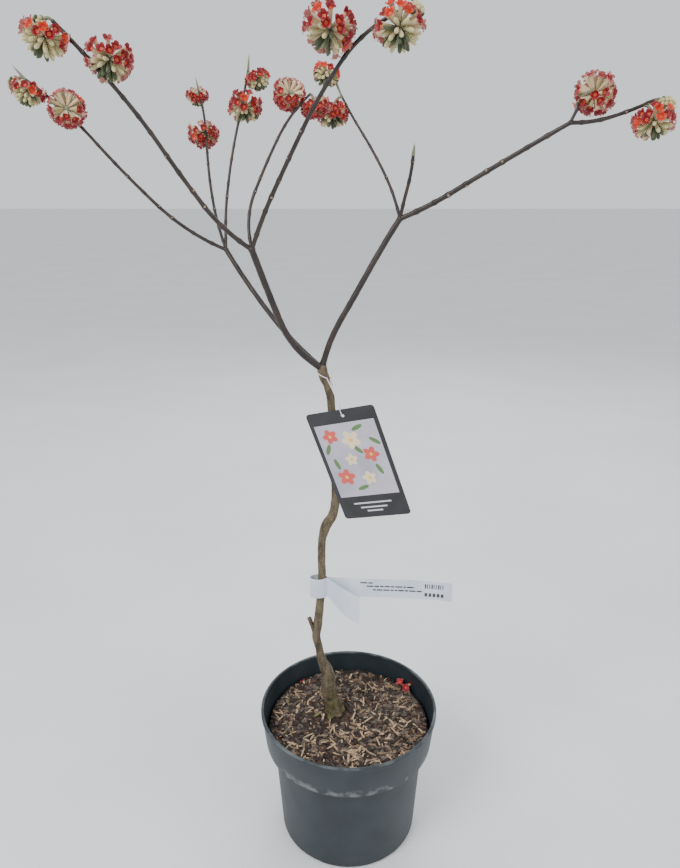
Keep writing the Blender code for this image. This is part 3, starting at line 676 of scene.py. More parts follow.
def smooth_stations(stations, steps):
    """Smooth line through the stations, with a few points between each two."""
    rows = [stations[0]] + list(stations) + [stations[-1]]
    result = []
    for index in range(len(stations) - 1):
        for step in range(steps):
            four = rows[index:index + 4]
            result.append([curve_value([row[k] for row in four], step / steps) for k in range(4)])
    result.append(list(stations[-1]))
    return result


trunk_rows = smooth_stations(TRUNK_STATIONS, STATION_STEPS)
trunk_route = [Vector((x, y, z)) for z, x, y, _ in trunk_rows]
fork = trunk_route[-1]


def trunk_radius(distance, angle, centre):
    """Radius of the trunk with its flared lobes and bark."""
    for low, high in zip(trunk_rows, trunk_rows[1:]):
        if centre.z <= high[0]:
            break
    share = (centre.z - low[0]) / max(high[0] - low[0], LEAST_RISE)
    radius = low[3] + (high[3] - low[3]) * min(1.0, max(0.0, share))
    rise = centre.z - GROUND_LEVEL
    flare = max(0.0, 1.0 - rise / (FLARE_TOP - GROUND_LEVEL))
    radius *= 1.0 + FOOT_LOBE_DEPTH * flare * flare * math.cos(FOOT_LOBES * angle)
    groove = GROOVE + FOOT_GROOVE * max(0.0, 1.0 - rise / FOOT_GROOVE_REACH)
    return radius * (1.0 + bark_relief(distance, angle, groove, *TRUNK_RIDGES))


def stub_radius(distance, angle, centre):
    """Radius of the short stub left where a shoot was cut."""
    return STUB_RADIUS * (1 + bark_relief(distance, angle, *STUB_RELIEF))


trunk_pile = Pile()
limb(trunk_pile, trunk_route, trunk_radius, TRUNK_SIDES, TRUNK_STEP)
for point in trunk_pile.points:
    if point.z < FOOT_LEVEL:
        point.z = FOOT_LEVEL
limb(trunk_pile, [Vector(STUB_START), Vector(STUB_END)], stub_radius, STUB_SIDES, STUB_STEP)
knuckle(trunk_pile, fork, TRUNK_STATIONS[-1][3] * TRUNK_KNUCKLE)
trunk_pile.make("trunk_bark", materials["old_bark"], "old_bark", ["trunk"])

# %% [markdown]
# Three boughs leave the trunk's fork, smooth and dark as the shoots that they
# carry. Each is thicker at its foot, where it grew out of the trunk.

# %% Boughs
# Headings from foot to tip, length, and radii at both ends.
BOUGHS = {
    "bough_front_left": (((-157, 32), (-138, 66), (-121, 62)), 0.162, (0.0036, 0.0033)),
    "bough_back_left": (((157, 35), (153, 47), (149, 53)), 0.175, (0.0030, 0.0027)),
    "bough_right": (((0, 77), (0, 60), (0, 61), (0, 57)), 0.181, (0.0034, 0.0031)),
}
BOUGH_SWELLING = 0.25
BOUGH_SWELLING_REACH = 0.012
BOUGH_RELIEF = (0.10, 2.0, 110.0)
BOUGH_SIDES = 24
BOUGH_STEP = 0.0015


def add_bough(route, length, radii):
    """Bough bark along one route, with a knuckle at its own fork."""

    def radius_at(distance, angle, centre):
        near = max(0.0, 1.0 - distance / BOUGH_SWELLING_REACH)
        swelling = 1.0 + BOUGH_SWELLING * near
        radius = (radii[0] + (radii[1] - radii[0]) * (distance / length)) * swelling
        return radius * (1.0 + bark_relief(distance, angle, *BOUGH_RELIEF))

    limb(bough_pile, route, radius_at, BOUGH_SIDES, BOUGH_STEP)
    knuckle(bough_pile, route[-1], radii[1] * FORK_SWELLING)


bough_pile = Pile()
bough_tips = {}
for name, (headings, length, radii) in BOUGHS.items():
    route = limb_route(fork, headings, length)
    add_bough(route, length, radii)
    bough_tips[name] = route[-1]
bough_pile.make("bough_bark", materials["young_bark"], "shoot_bark", list(BOUGHS))

# %% [markdown]
# Shoots are dark and smooth, a little swollen at each leaf scar. The scars
# are pale half moons that climb the shoot in a spiral.

# %% Shoots
# Bough, headings from foot to tip, length, and radii at both ends.
SHOOTS = {
    "shoot_left_high": (
        "bough_front_left", ((186, 33), (191, 54), (193, 57), (191, 49), (191, 46)),
        0.255, (0.0024, 0.0018),
    ),
    "shoot_front_middle": (
        "bough_front_left", ((125, 67), (49, 59), (46, 55), (29, 39)),
        0.181, (0.0017, 0.0013),
    ),
    "shoot_front_right": (
        "bough_front_left", ((-39, 64), (-34, 57), (-36, 55), (-32, 47), (-22, 18)),
        0.253, (0.0023, 0.0016),
    ),
    "shoot_left_low": (
        "bough_back_left", ((179, 22), (179, 44), (178, 49), (179, 35)),
        0.273, (0.0021, 0.0015),
    ),
    "shoot_back_left": (
        "bough_back_left", ((121, 48), (107, 50), (99, 54), (116, 52)),
        0.230, (0.0018, 0.0014),
    ),
    "shoot_back_middle": (
        "bough_back_left", ((100, 75), (67, 73), (52, 70), (56, 71)),
        0.201, (0.0017, 0.0013),
    ),
    "shoot_right_long": (
        "bough_right", ((-13, 22), (-16, 31), (-17, 30), (-18, 29)),
        0.185, (0.0028, 0.0022),
    ),
    "shoot_right_bare": (
        "bough_right", ((-60, 72), (-71, 58), (-88, 64)),
        0.070, (0.0019, 0.0016),
    ),
    "shoot_back_right": (
        "bough_right", ((107, 54), (121, 47), (128, 45), (124, 48)),
        0.176, (0.0017, 0.0013),
    ),
}
# Headings, length and radii of each side branch of a forked shoot.
BRANCHES = {
    "shoot_right_long": (
        (((0, 69), (89, 34)), 0.023, (0.0016, 0.0014)),
        (((-3, -2), (-4, 17), (-4, 25)), 0.078, (0.0020, 0.0016)),
    ),
}
SHOOT_RELIEF = (0.05, 1.6, 90.0)
SHOOT_SIDES = 16
SHOOT_STEP = 0.0012
LOOK_AHEAD = 0.002
SCAR_SPACING = 0.021
SCAR_FIRST = (0.5, 1.0)
SCAR_NEXT = (0.7, 1.35)
SCAR_END = 0.006
SCAR_SWELLING = 0.22
SCAR_REACH = 0.0022
# Shares of the shoot's radius there.
SCAR_HALF_WIDTH = 0.55
SCAR_HALF_HEIGHT = 0.38
SCAR_RIM = 0.98
SCAR_BULGE = 1.10
SCAR_ROOT = 0.5
SCAR_SIDES = 10
# Where a scar faces before its turn, by turns on two sides.
SCAR_WAYS = ((1.0, 0.3, 0.0), (0.0, -1.0, 0.0))


def add_scar(route, scar, index, radius):
    """Pale half moon on the bark, turned on by the golden angle."""
    centre = point_on(route, scar)
    along = (point_on(route, scar + LOOK_AHEAD) - centre).normalized()
    out = Vector(SCAR_WAYS[index % 2])
    out.rotate(Matrix.Rotation(index * GOLDEN_ANGLE, 3, "Z"))
    out = (out - along * out.dot(along)).normalized()
    across = along.cross(out)
    points = []
    for step in range(SCAR_SIDES):
        angle = math.tau * step / SCAR_SIDES
        sideways = math.cos(angle) * radius * SCAR_HALF_WIDTH
        upward = math.sin(angle) * radius * SCAR_HALF_HEIGHT
        depth = math.sqrt(max(0.0, radius * radius - sideways * sideways)) * SCAR_RIM
        points.append(centre + across * sideways + along * upward + out * depth)
    points.append(centre + out * (radius * SCAR_BULGE))
    points.append(centre + out * radius * SCAR_ROOT)
    faces = [(step, (step + 1) % SCAR_SIDES, SCAR_SIDES) for step in range(SCAR_SIDES)]
    faces += [((step + 1) % SCAR_SIDES, step, SCAR_SIDES + 1) for step in range(SCAR_SIDES)]
    scar_pile.add(points, faces)


def shoot_limb(route, radii, rng):
    """Shoot bark and its leaf scars along one route."""
    total = route_length(route)
    scars = []
    distance = SCAR_SPACING * rng.uniform(*SCAR_FIRST)
    while distance < total - SCAR_END:
        scars.append(distance)
        distance += SCAR_SPACING * rng.uniform(*SCAR_NEXT)

    def radius_at(distance, angle, centre=None):
        radius = radii[0] + (radii[1] - radii[0]) * distance / total
        swelling = sum(math.exp(-((distance - scar) / SCAR_REACH) ** 2) for scar in scars)
        lumps = bark_relief(distance, angle, *SHOOT_RELIEF)
        return radius * (1.0 + SCAR_SWELLING * swelling + lumps)

    limb(shoot_pile, route, radius_at, SHOOT_SIDES, SHOOT_STEP)
    for index, scar in enumerate(scars):
        add_scar(route, scar, index, radius_at(scar, 0.0))


shoot_pile = Pile()
scar_pile = Pile()
shoot_lines = {}
for name, (bough, headings, length, radii) in SHOOTS.items():
    rng = random.Random(f"{SEED} bark {name}")
    main = limb_route(bough_tips[bough], headings, length)
    shoot_limb(main, radii, rng)
    shoot_lines[name] = [main]
    for headings, length, branch_radii in BRANCHES.get(name, ()):
        route = limb_route(main[-1], headings, length)
        shoot_limb(route, branch_radii, rng)
        shoot_lines[name].append(route)
    if name in BRANCHES:
        knuckle(shoot_pile, main[-1], radii[1] * FORK_SWELLING)
print("shoots", len(shoot_lines))

# %% [markdown]
# Four shoots end in a pointed leaf bud beside or in place of a head. A limb
# that tapers to nothing gives it, in the silky green of the stalks.

# %% Leaf buds
# Heading and length.
TIPS = {
    "shoot_left_low": ((180, 49), 0.018),
    "shoot_back_left": ((180, 78), 0.016),
    "shoot_back_middle": ((0, 84), 0.017),
    "shoot_right_bare": ((0, 84), 0.010),
}
TIP_SINK = 0.002
TIP_POINT = 0.0002
TIP_SWELLING = 1.15
TIP_TAPER = 1.8
TIP_SIDES = 12
TIP_STEP = 0.0012


def add_tip(foot, thickness, way, length):
    """Leaf bud from a shoot's end."""
    whole = length + TIP_SINK

    def radius_at(distance, angle, centre):
        return max(TIP_POINT, thickness * TIP_SWELLING * (1.0 - (distance / whole) ** TIP_TAPER))

    limb(stalk_pile, [foot - way * TIP_SINK, foot + way * length], radius_at, TIP_SIDES, TIP_STEP)


stalk_pile = Pile()
for name, (way, length) in TIPS.items():
    radii = SHOOTS[name][-1]
    add_tip(shoot_lines[name][0][-1], radii[1], heading(*way), length)
print("leaf buds", len(TIPS))

# %% [markdown]
# A floret is a silky tube that opens in four lobes, cream outside, crimson or
# scarlet within and pink behind. Rings of points make the tube, and a small
# curved grid makes each lobe, once for its face and once for its back. A
# closed floret is one long bud.

# %% Floret shapes
# Places along a floret and radii in millimetres there.
TUBE_SHAPE = ((0.12, 0.8), (0.34, 1.35), (0.58, 1.8), (0.76, 2.0), (0.86, 2.1))
BUD_SHAPE = (
    (0.12, 0.8), (0.36, 1.35), (0.60, 1.7), (0.78, 2.0), (0.89, 1.8), (0.97, 1.1), (1.0, 0.4),
)
THROAT_SHAPE = ((0.855, 2.0), (0.84, 0.5))
FLORET_SIDES = 7
# Half width of an open floret's face at full size.
FLORET_FLARE = 0.0052
FLORET_BEND = 0.09
FLORET_LENGTHS = (0.84, 1.0)
GREEN_TUBES = 0.30
# Closed florets: their length, and which of them are dark green: those near the
# facing, whose darkness is painted shade on their own green, and a few by chance.
BUD_REACH = 0.88
BUD_LENGTHS = (0.92, 1.0)
BUD_GREEN_SHADE_ANGLE = 32.0
GREEN_BUDS = 0.15
LOBES = 4
LOBE_ROWS = 5
LOBE_COLUMNS = 4
LOBE_SPREADS = (0.90, 1.05)
LOBE_BEND = 0.9
# A lobe's root as a share of the floret, and its distance from the axis.
LOBE_START = 0.82
LOBE_ROOT = 0.0012
LOBE_OPENING = 0.9
LOBE_RISING = 1.7
LOBE_DROOP = 0.0009
LOBE_HALF_WIDTH = 0.0026
LOBE_OUTLINE = (0.30, 0.64)
LOBE_EDGE_LIFT = 0.0004
LOBE_THICKNESS = 0.0002
# How far a lobe's middle bulges inwards and upwards, as shares of the bulge.
LOBE_BULGE = (0.5, 0.8)
# Each pile of florets by its material, and the name of the piece made of it.
FLORET_PIECES = {
    "tube_cream": "cream_tubes",
    "tube_green": "green_tubes",
    "lobe_crimson": "crimson_lobes",
    "lobe_scarlet": "scarlet_lobes",
    "lobe_back": "lobe_backs",
    "throat_orange": "floret_throats",
    "bud_cream": "cream_buds",
    "bud_green": "green_shade_buds",
}
piles = {name: Pile() for name in FLORET_PIECES}
print("floret piles", len(piles))

# %% [markdown]
# Each floret is made upright in its own small space, and one matrix then
# stands it on the head. That keeps the sums for its shape simple.

# %% One floret


def upright_to(middle, direction):
    """Matrix that stands an upright piece at a place, pointing a given way."""
    return Matrix.Translation(middle) @ direction.to_track_quat("Z", "Y").to_matrix().to_4x4()


def add_rings(pile, shape, reach, bend, place, first_cap=True, last_cap=True):
    """Rings along a floret that bends sideways a little, joined to a skin."""
    points = []
    for along, radius in shape:
        for side in range(FLORET_SIDES):
            angle = math.tau * side / FLORET_SIDES
            points.append(place @ Vector((
                radius * MILLIMETRE * math.cos(angle) + bend * along * along,
                radius * MILLIMETRE * math.sin(angle),
                reach * along,
            )))
    pile.add(points, ring_faces(len(shape), FLORET_SIDES, first_cap, last_cap))


def add_lobe(pile, turn, reach, flare, bend, place, thickness, flip):
    """One side of a lobe: a rounded petal that opens outwards from the throat."""
    points = []
    base = LOBE_START * reach
    first, more = LOBE_OUTLINE
    inwards, upwards = LOBE_BULGE
    for row in range(LOBE_ROWS):
        along = row / (LOBE_ROWS - 1)
        radial = LOBE_ROOT + (flare - LOBE_ROOT) * along ** LOBE_OPENING
        height = base + (reach - base) * (1.0 - (1.0 - along) ** LOBE_RISING)
        height -= LOBE_DROOP * along ** 3
        half = LOBE_HALF_WIDTH * math.sin(math.pi * (first + more * along)) * flare / FLORET_FLARE
        for column in range(LOBE_COLUMNS):
            across = 2 * column / (LOBE_COLUMNS - 1) - 1
            bulge = thickness * (1 - across * across) * (1 - along ** 4)
            spot = Vector((
                radial - inwards * bulge,
                across * half,
                height + upwards * bulge + LOBE_EDGE_LIFT * across * across,
            ))
            spot.rotate(Matrix.Rotation(turn, 3, "Z"))
            spot.x += bend
            points.append(place @ spot)
    faces = []
    for row in range(LOBE_ROWS - 1):
        for column in range(LOBE_COLUMNS - 1):
            corner = row * LOBE_COLUMNS + column
            face = (corner, corner + LOBE_COLUMNS, corner + LOBE_COLUMNS + 1, corner + 1)
            faces.append(face[::-1] if flip else face)
    pile.add(points, faces)


def add_floret(middle, direction, reach, flare, tilt, bud_angle, scarlet, rng):
    """One floret from a head's middle, closed near the facing and open elsewhere."""
    spin = Matrix.Rotation(rng.uniform(0.0, math.tau), 4, "Z")
    place = upright_to(middle, direction) @ spin
    bend = reach * rng.uniform(0.0, FLORET_BEND)
    if tilt < bud_angle:
        reach *= BUD_REACH * rng.uniform(*BUD_LENGTHS)
        # Buds near the facing take the dark green: their own green with painted shade.
        green = tilt < BUD_GREEN_SHADE_ANGLE or rng.random() < GREEN_BUDS
        add_rings(piles["bud_green" if green else "bud_cream"], BUD_SHAPE, reach, bend, place)
        return
    reach *= rng.uniform(*FLORET_LENGTHS)
    tube = piles["tube_green" if rng.random() < GREEN_TUBES else "tube_cream"]
    add_rings(tube, TUBE_SHAPE, reach, bend, place, last_cap=False)
    add_rings(piles["throat_orange"], THROAT_SHAPE, reach, bend, place, first_cap=False)
    face = piles["lobe_scarlet" if rng.random() < scarlet else "lobe_crimson"]
    for lobe in range(LOBES):
        angle = math.tau * lobe / LOBES
        shape = (angle, reach, flare * rng.uniform(*LOBE_SPREADS), bend * LOBE_BEND, place)
        add_lobe(face, *shape, LOBE_THICKNESS, False)
        add_lobe(piles["lobe_back"], *shape, -LOBE_THICKNESS, True)


# %% [markdown]
# Each head nods on a silky stalk. A curve with two handles gives its bend: it
# leaves along the shoot and arrives along the head's facing.

# %% Stalks
STALK_RADIUS = 0.0013
STALK_STEPS = 8
STALK_LEAVES = 0.45
STALK_ARRIVES = 0.55
STALK_THICKENING = 0.7
STALK_SIDES = 10
STALK_STEP = 0.0012


def stalk_route(start, along, end, facing):
    """Nodding stalk: leaves along the shoot and arrives along the head's facing."""
    span = (end - start).length
    first = start + along * span * STALK_LEAVES
    last = end - facing * span * STALK_ARRIVES
    points = []
    for step in range(STALK_STEPS + 1):
        t = step / STALK_STEPS
        points.append(
            start * (1 - t) ** 3 + first * 3 * t * (1 - t) ** 2
            + last * 3 * t * t * (1 - t) + end * t ** 3
        )
    return points


def head_place(routes, limb_index, along, offset, facing, back):
    """Middle and facing of a head, with its stalk added to the stalks."""
    route = routes[limb_index]
    distance = along * route_length(route)
    start = point_on(route, distance)
    ahead = point_on(route, distance + LOOK_AHEAD)
    behind = point_on(route, max(0.0, distance - LOOK_AHEAD))
    middle = start + Vector(offset) * MILLIMETRE
    face = heading(*facing)
    stalk = stalk_route(start, (ahead - behind).normalized(), middle - face * back, face)
    total = route_length(stalk)

    def radius_at(distance, angle, centre):
        return STALK_RADIUS * (1.0 + STALK_THICKENING * (distance / total) ** 2)

    limb(stalk_pile, stalk, radius_at, STALK_SIDES, STALK_STEP)
    return middle, face


# %% [markdown]
# Fifty florets stand round each core by the golden angle, which spreads them
# evenly without rows, and a little chance loosens them. Those nearest the
# facing are still closed. A floret that would grow through another shoot is
# left out.

# %% Flower heads
# Limb of the shoot, place on it, offset in millimetres, facing, floret length
# in millimetres, share of scarlet florets, and the angles from the facing up
# to which florets are closed and up to which they stand.
HEADS = {
    "shoot_left_high": (
        (0, 0.97, (-12, -6, -8), (205, -66), 22, 0.30, 78, 118),
        (0, 0.73, (-1, -4, 22), (-100, -62), 23, 0.05, 62, 116),
    ),
    "shoot_left_low": (
        (0, 0.97, (-3, -4, -8), (205, -74), 19, 0.10, 80, 116),
        (0, 0.73, (-12, -6, 18), (98, -18), 22, 0.15, 24, 134),
    ),
    "shoot_back_left": (
        (0, 0.96, (-5, 8, 2), (110, -68), 15, 0.05, 80, 116),
        (0, 0.75, (-4, 7, -4), (90, -72), 20, 0.05, 34, 120),
    ),
    "shoot_back_middle": (
        (0, 0.97, (12, -3, -4), (-30, -66), 15, 0.40, 84, 112),
        (0, 0.85, (3, -8, -10), (-88, -70), 21, 0.05, 58, 122),
    ),
    "shoot_front_middle": (
        (0, 0.88, (-8, 8, 14), (112, -34), 18, 0.05, 24, 130),
        (0, 0.99, (5, 1, -10), (60, -72), 16, 0.10, 46, 112),
    ),
    "shoot_front_right": (
        (0, 0.77, (-11, -9, 20), (-134, -56), 24, 0.05, 54, 128),
        (0, 0.98, (4, -8, -11), (-75, -64), 22, 0.40, 78, 120),
    ),
    "shoot_back_right": (
        (0, 0.98, (-17, 4, 23), (-120, -62), 17, 0.75, 86, 112),
        (0, 0.96, (-12, -4, -15), (-90, -76), 20, 0.10, 62, 122),
    ),
    "shoot_right_long": (
        (1, 0.95, (18, 8, 10), (62, -24), 22, 0.05, 20, 142),
        (2, 0.83, (12, -6, -13), (-80, -68), 21, 0.25, 66, 116),
    ),
}
FLORETS = 50
FLORET_JITTER = math.radians(6.0)
# Flare of short florets, as a share of the full flare, and how it grows.
FLARE_LEAST = 0.62
FLARE_GROWTH = 0.38
FULL_LENGTH = 0.025
CORE_LIFT = 0.05
CORE_RADIUS = 0.17
STEM_CLEAR = 0.0050
STEM_TESTS = (0.5, 0.75, 1.0)


def crosses_stem(middle, direction, reach, others):
    """True where a floret's flare would touch another limb."""
    for share in STEM_TESTS:
        point = middle + direction * reach * share
        for route, radius in others:
            if any((point - knot).length < STEM_CLEAR + radius for knot in route):
                return True
    return False


def limbs_beside(name):
    """Routes and thickness of all shoots but one."""
    beside = []
    for other, routes in shoot_lines.items():
        if other != name:
            beside += [(route, SHOOTS[other][-1][0]) for route in routes]
    return beside


def add_head(middle, face, reach, scarlet, bud_angle, spread, others, rng):
    """Core of a head with its florets round it."""
    flare = FLORET_FLARE * (FLARE_LEAST + FLARE_GROWTH * reach / FULL_LENGTH)
    knuckle(stalk_pile, middle + face * reach * CORE_LIFT, reach * CORE_RADIUS)
    turn = face.to_track_quat("Z", "Y")
    low = math.cos(math.radians(spread))
    for index in range(FLORETS):
        height = 1.0 - (index + 0.5) / FLORETS * (1.0 - low)
        tilt = math.acos(height) + rng.uniform(-FLORET_JITTER, FLORET_JITTER)
        spin = index * GOLDEN_ANGLE + rng.uniform(-FLORET_JITTER, FLORET_JITTER)
        direction = turn @ Vector((
            math.sin(tilt) * math.cos(spin),
            math.sin(tilt) * math.sin(spin),
            math.cos(tilt),
        ))
        if not crosses_stem(middle, direction, reach, others):
            degrees = math.degrees(tilt)
            add_floret(middle, direction, reach, flare, degrees, bud_angle, scarlet, rng)


for name, rows in HEADS.items():
    rng = random.Random(f"{SEED} head {name}")
    others = limbs_beside(name)
    for limb_index, along, offset, facing, reach_mm, scarlet, bud_angle, spread in rows:
        middle, face = head_place(shoot_lines[name], limb_index, along, offset, facing, 0.0)
        add_head(middle, face, reach_mm * MILLIMETRE, scarlet, bud_angle, spread, others, rng)
print("flower heads", sum(len(rows) for rows in HEADS.values()))

# %% [markdown]
# Small balls of closed buds sit at some tips, not yet in flower. They are the
# same buds made shorter and set all round, on stalks of their own.

# %% Bud balls
# Limb of the shoot, place on it, offset in millimetres, facing, and half the
# width and half the length in millimetres.
BUD_BALLS = {
    "shoot_left_high": (0, 1.00, (-12, -1, -3), (190, -40), (7.5, 8.5)),
    "shoot_left_low": (0, 0.99, (-14, 1, -3), (190, -50), (7.5, 8.5)),
    "shoot_front_right": (0, 1.00, (13, -2, 1), (-20, -35), (6.0, 8.0)),
    "shoot_right_long": (2, 1.00, (12, -1, -4), (-25, -35), (8.0, 9.5)),
}
BALL_BUDS = 34
BALL_LENGTHS = (0.93, 1.0)
BALL_CORE = 0.62
BALL_GREEN_EVERY = 4
# Where the stalk ends, as a share of the ball from its middle.
BALL_STALK_END = 0.5


def add_ball(middle, face, half_width, half_length, rng):
    """Ball of closed buds, a little longer along its facing."""
    knuckle(stalk_pile, middle, half_width * BALL_CORE)
    turn = face.to_track_quat("Z", "Y")
    for index in range(BALL_BUDS):
        height = 1.0 - 2.0 * (index + 0.5) / BALL_BUDS
        flat = math.sqrt(1.0 - height * height)
        spin = index * GOLDEN_ANGLE
        direction = turn @ Vector((flat * math.cos(spin), flat * math.sin(spin), height))
        reach = half_width * flat * flat + half_length * height * height
        # Every fourth bud takes the dark green: their own green with painted shade.
        pile = piles["bud_green" if index % BALL_GREEN_EVERY == 0 else "bud_cream"]
        reach *= rng.uniform(*BALL_LENGTHS)
        add_rings(pile, BUD_SHAPE, reach, 0.0, upright_to(middle, direction))


for name, (limb_index, along, offset, facing, size) in BUD_BALLS.items():
    rng = random.Random(f"{SEED} buds {name}")
    half_width, half_length = (value * MILLIMETRE for value in size)
    back = half_length * BALL_STALK_END
    middle, face = head_place(shoot_lines[name], limb_index, along, offset, facing, back)
    add_ball(middle, face, half_width, half_length, rng)
print("bud balls", len(BUD_BALLS))

# %% [markdown]
# A few open florets have fallen on the potting mix. Then the piles become
# objects: shoots, scars, stalks and florets take the place of the solid shoots.

# %% Fallen florets and pieces
FALLEN_FLORETS = (
    ((0.080, 0.062, 0.158), (-80, 50)),
    ((0.085, 0.066, 0.158), (-20, 62)),
    ((0.076, 0.069, 0.158), (-140, 66)),
    ((-0.060, 0.074, 0.154), (150, 50)),
)
FALLEN_LENGTH = 0.011
FALLEN_FLARE = 0.0060
FALLEN_TILT = 90.0

rng = random.Random(f"{SEED} fallen")
for place, way in FALLEN_FLORETS:
    add_floret(
        Vector(place), heading(*way), FALLEN_LENGTH, FALLEN_FLARE, FALLEN_TILT,
        bud_angle=0.0, scarlet=0.0, rng=rng,
    )

shoot_nodes = list(SHOOTS)
shoot_pile.make("shoot_bark", materials["young_bark"], "blossom", shoot_nodes)
scar_pile.make("leaf_scars", materials["leaf_scar"], "blossom", shoot_nodes, False)
stalk_pile.make("flower_stalks", materials["stalk_silk"], "blossom", shoot_nodes)
for name, piece in FLORET_PIECES.items():
    piles[name].make(piece, materials[name], "blossom", shoot_nodes)

# %% [markdown]
# The pot is thin moulded plastic with a deep collar, a rolled lip, drain
# holes and shallow notches in its foot. A profile turned in many small steps
# keeps its outline round, and the holes are cut afterwards.

# %% Pot
POT_HEIGHT = 0.184
RIM_RADIUS = 0.115
LIP_HEIGHT = 0.006
COLLAR_FOOT = 0.1355
COLLAR_FOOT_RADIUS = 0.1087
SHOULDER_RADIUS = 0.0985
BASE_RADIUS = 0.0902
BASE_ROUNDING = 0.0055
POT_WALL = 0.002
POT_FLOOR = 0.0055
POT_STEPS = 160
LIP_FOOT = POT_HEIGHT - LIP_HEIGHT
LIP_ROLL = 0.002
# Start and end in degrees and number of steps of the profile's two arcs.
LIP_ARC = (150, 0, 8)
BASE_ARC = (0, -90, 7)
# Steps outwards and upwards that ease the sharp edges of the profile.
LIP_EDGE = ((0.0, 0.0005), (-0.0003, 0.0), (-0.0013, -0.0008))
COLLAR_EDGE = ((0.0005, 0.0014), (0.0002, 0.0004), (-0.0006, 0.0))
SHOULDER_EDGE = ((0.0008, 0.0), (0.0, -0.0010))


def arc(centre, radius, start, end, steps):
    """Points of a profile's round corner, angles in degrees."""
    points = []
    for step in range(steps + 1):
        angle = math.radians(start + (end - start) * step / steps)
        points.append((
            centre[0] + radius * math.cos(angle),
            centre[1] + radius * math.sin(angle),
        ))
    return points


def eased(radius, height, steps):
    """Points that ease one edge of the profile."""
    return [(radius + out, height + up) for out, up in steps]


taper = (SHOULDER_RADIUS - BASE_RADIUS) / COLLAR_FOOT
profile = [
    (BASE_RADIUS + taper * BASE_ROUNDING - BASE_ROUNDING, POT_FLOOR),
    (BASE_RADIUS + taper * BASE_ROUNDING - POT_WALL, POT_FLOOR + BASE_ROUNDING),
    (SHOULDER_RADIUS - POT_WALL, COLLAR_FOOT),
    (COLLAR_FOOT_RADIUS - POT_WALL, COLLAR_FOOT + POT_WALL * 2),
    (RIM_RADIUS - 2 * POT_WALL, LIP_FOOT),
]
profile += arc((RIM_RADIUS - LIP_ROLL, POT_HEIGHT - LIP_ROLL), LIP_ROLL, *LIP_ARC)
profile += eased(RIM_RADIUS, LIP_FOOT, LIP_EDGE)
profile += eased(COLLAR_FOOT_RADIUS, COLLAR_FOOT, COLLAR_EDGE)
profile += eased(SHOULDER_RADIUS, COLLAR_FOOT, SHOULDER_EDGE)
profile += arc((BASE_RADIUS - BASE_ROUNDING, BASE_ROUNDING), BASE_ROUNDING, *BASE_ARC)
pot_pile = Pile()
pot_pile.add(
    [point for radius, height in profile for point in circle(radius, height, POT_STEPS)],
    [face[::-1] for face in ring_faces(len(profile), POT_STEPS)],
)
pot = pot_pile.make("nursery_pot", materials["pot_plastic"], "pot_plastic", ["pot"])

# %% [markdown]
# Water leaves through round holes in the floor, and notches in the foot let it
# run out from under the pot. Plain cutters take both out of the turned shape.

# %% Drain holes and notches
DRAIN_HOLES = 6
DRAIN_RING = 0.062
DRAIN_RADIUS = 0.005
DRAIN_SIDES = 24
NOTCHES = 3
NOTCH_AZIMUTH = -123.5
NOTCH_SIZE = (0.016, 0.030, 0.008)
BOX_FACES = ((0, 1, 3, 2), (4, 6, 7, 5), (0, 4, 5, 1), (2, 3, 7, 6), (0, 2, 6, 4), (1, 5, 7, 3))
SHARP_ANGLE = 32.0


def cutter(name, points, faces):
    """Shape that cuts the pot and is removed afterwards."""
    mesh = bpy.data.meshes.new(name)
    mesh.from_pydata(points, [], faces)
    return put(name, mesh)


def drain_cutter(place):
    """Drum through the floor at a place."""
    points = []
    for height in (-2 * POT_FLOOR, 2 * POT_FLOOR):
        points += [point + place for point in circle(DRAIN_RADIUS, height, DRAIN_SIDES)]
    return cutter("drain", points, ring_faces(2, DRAIN_SIDES))


def notch_cutter(matrix):
    """Box across the foot."""
    corners = [
        (x * NOTCH_SIZE[0] / 2, y * NOTCH_SIZE[1] / 2, z * NOTCH_SIZE[2] / 2)
        for x in (-1, 1) for y in (-1, 1) for z in (-1, 1)
    ]
    return cutter("notch", [matrix @ Vector(corner) for corner in corners], BOX_FACES)


cutters = []
for index in range(DRAIN_HOLES):
    angle = math.tau * index / DRAIN_HOLES
    cutters.append(drain_cutter(Vector((math.cos(angle), math.sin(angle), 0.0)) * DRAIN_RING))
for index in range(NOTCHES):
    angle = math.radians(NOTCH_AZIMUTH) + math.tau * index / NOTCHES
    matrix = Matrix.Rotation(angle, 4, "Z") @ Matrix.Translation((BASE_RADIUS, 0.0, 0.0))
    cutters.append(notch_cutter(matrix))
for item in cutters:
    cut = pot.modifiers.new("cut", "BOOLEAN")
    cut.operation = "DIFFERENCE"
    cut.object = item
graph = bpy.context.evaluated_depsgraph_get()
graph.update()
cut_mesh = bpy.data.meshes.new_from_object(pot.evaluated_get(graph))
pot.modifiers.clear()
pot.data = cut_mesh
for item in cutters:
    bpy.data.objects.remove(item, do_unlink=True)
pot.data.shade_smooth()
pot.data.set_sharp_from_angle(angle=math.radians(SHARP_ANGLE))
print("pot after its cuts", len(pot.data.polygons), "faces")

# %% [markdown]
# Potting mix is chipped bark and wood over finer crumbs. The crumbs are one
# uneven brown ground, a disc whose height follows a noise.

# %% Ground of the mix
MIX_LEVEL = 0.159
MIX_SINK = 0.0012
# Height and fineness of the mix's waves.
MIX_WAVES = ((0.0022, 38.0), (0.0008, 160.0))
MIX_RADIUS = 0.1065
MIX_RINGS = 26
MIX_SIDES = 72
MIX_FIRST_RING = 0.3
MIX_FOOT_RADIUS = 0.095
MIX_FOOT_LEVEL = 0.12


def mix_height(x, y):
    """Height of the mix at a place."""
    spot = Vector((x, y, 0.0))
    level = MIX_LEVEL - MIX_SINK
    for height, fineness in MIX_WAVES:
        level += height * noise.noise(spot * fineness)
    return level


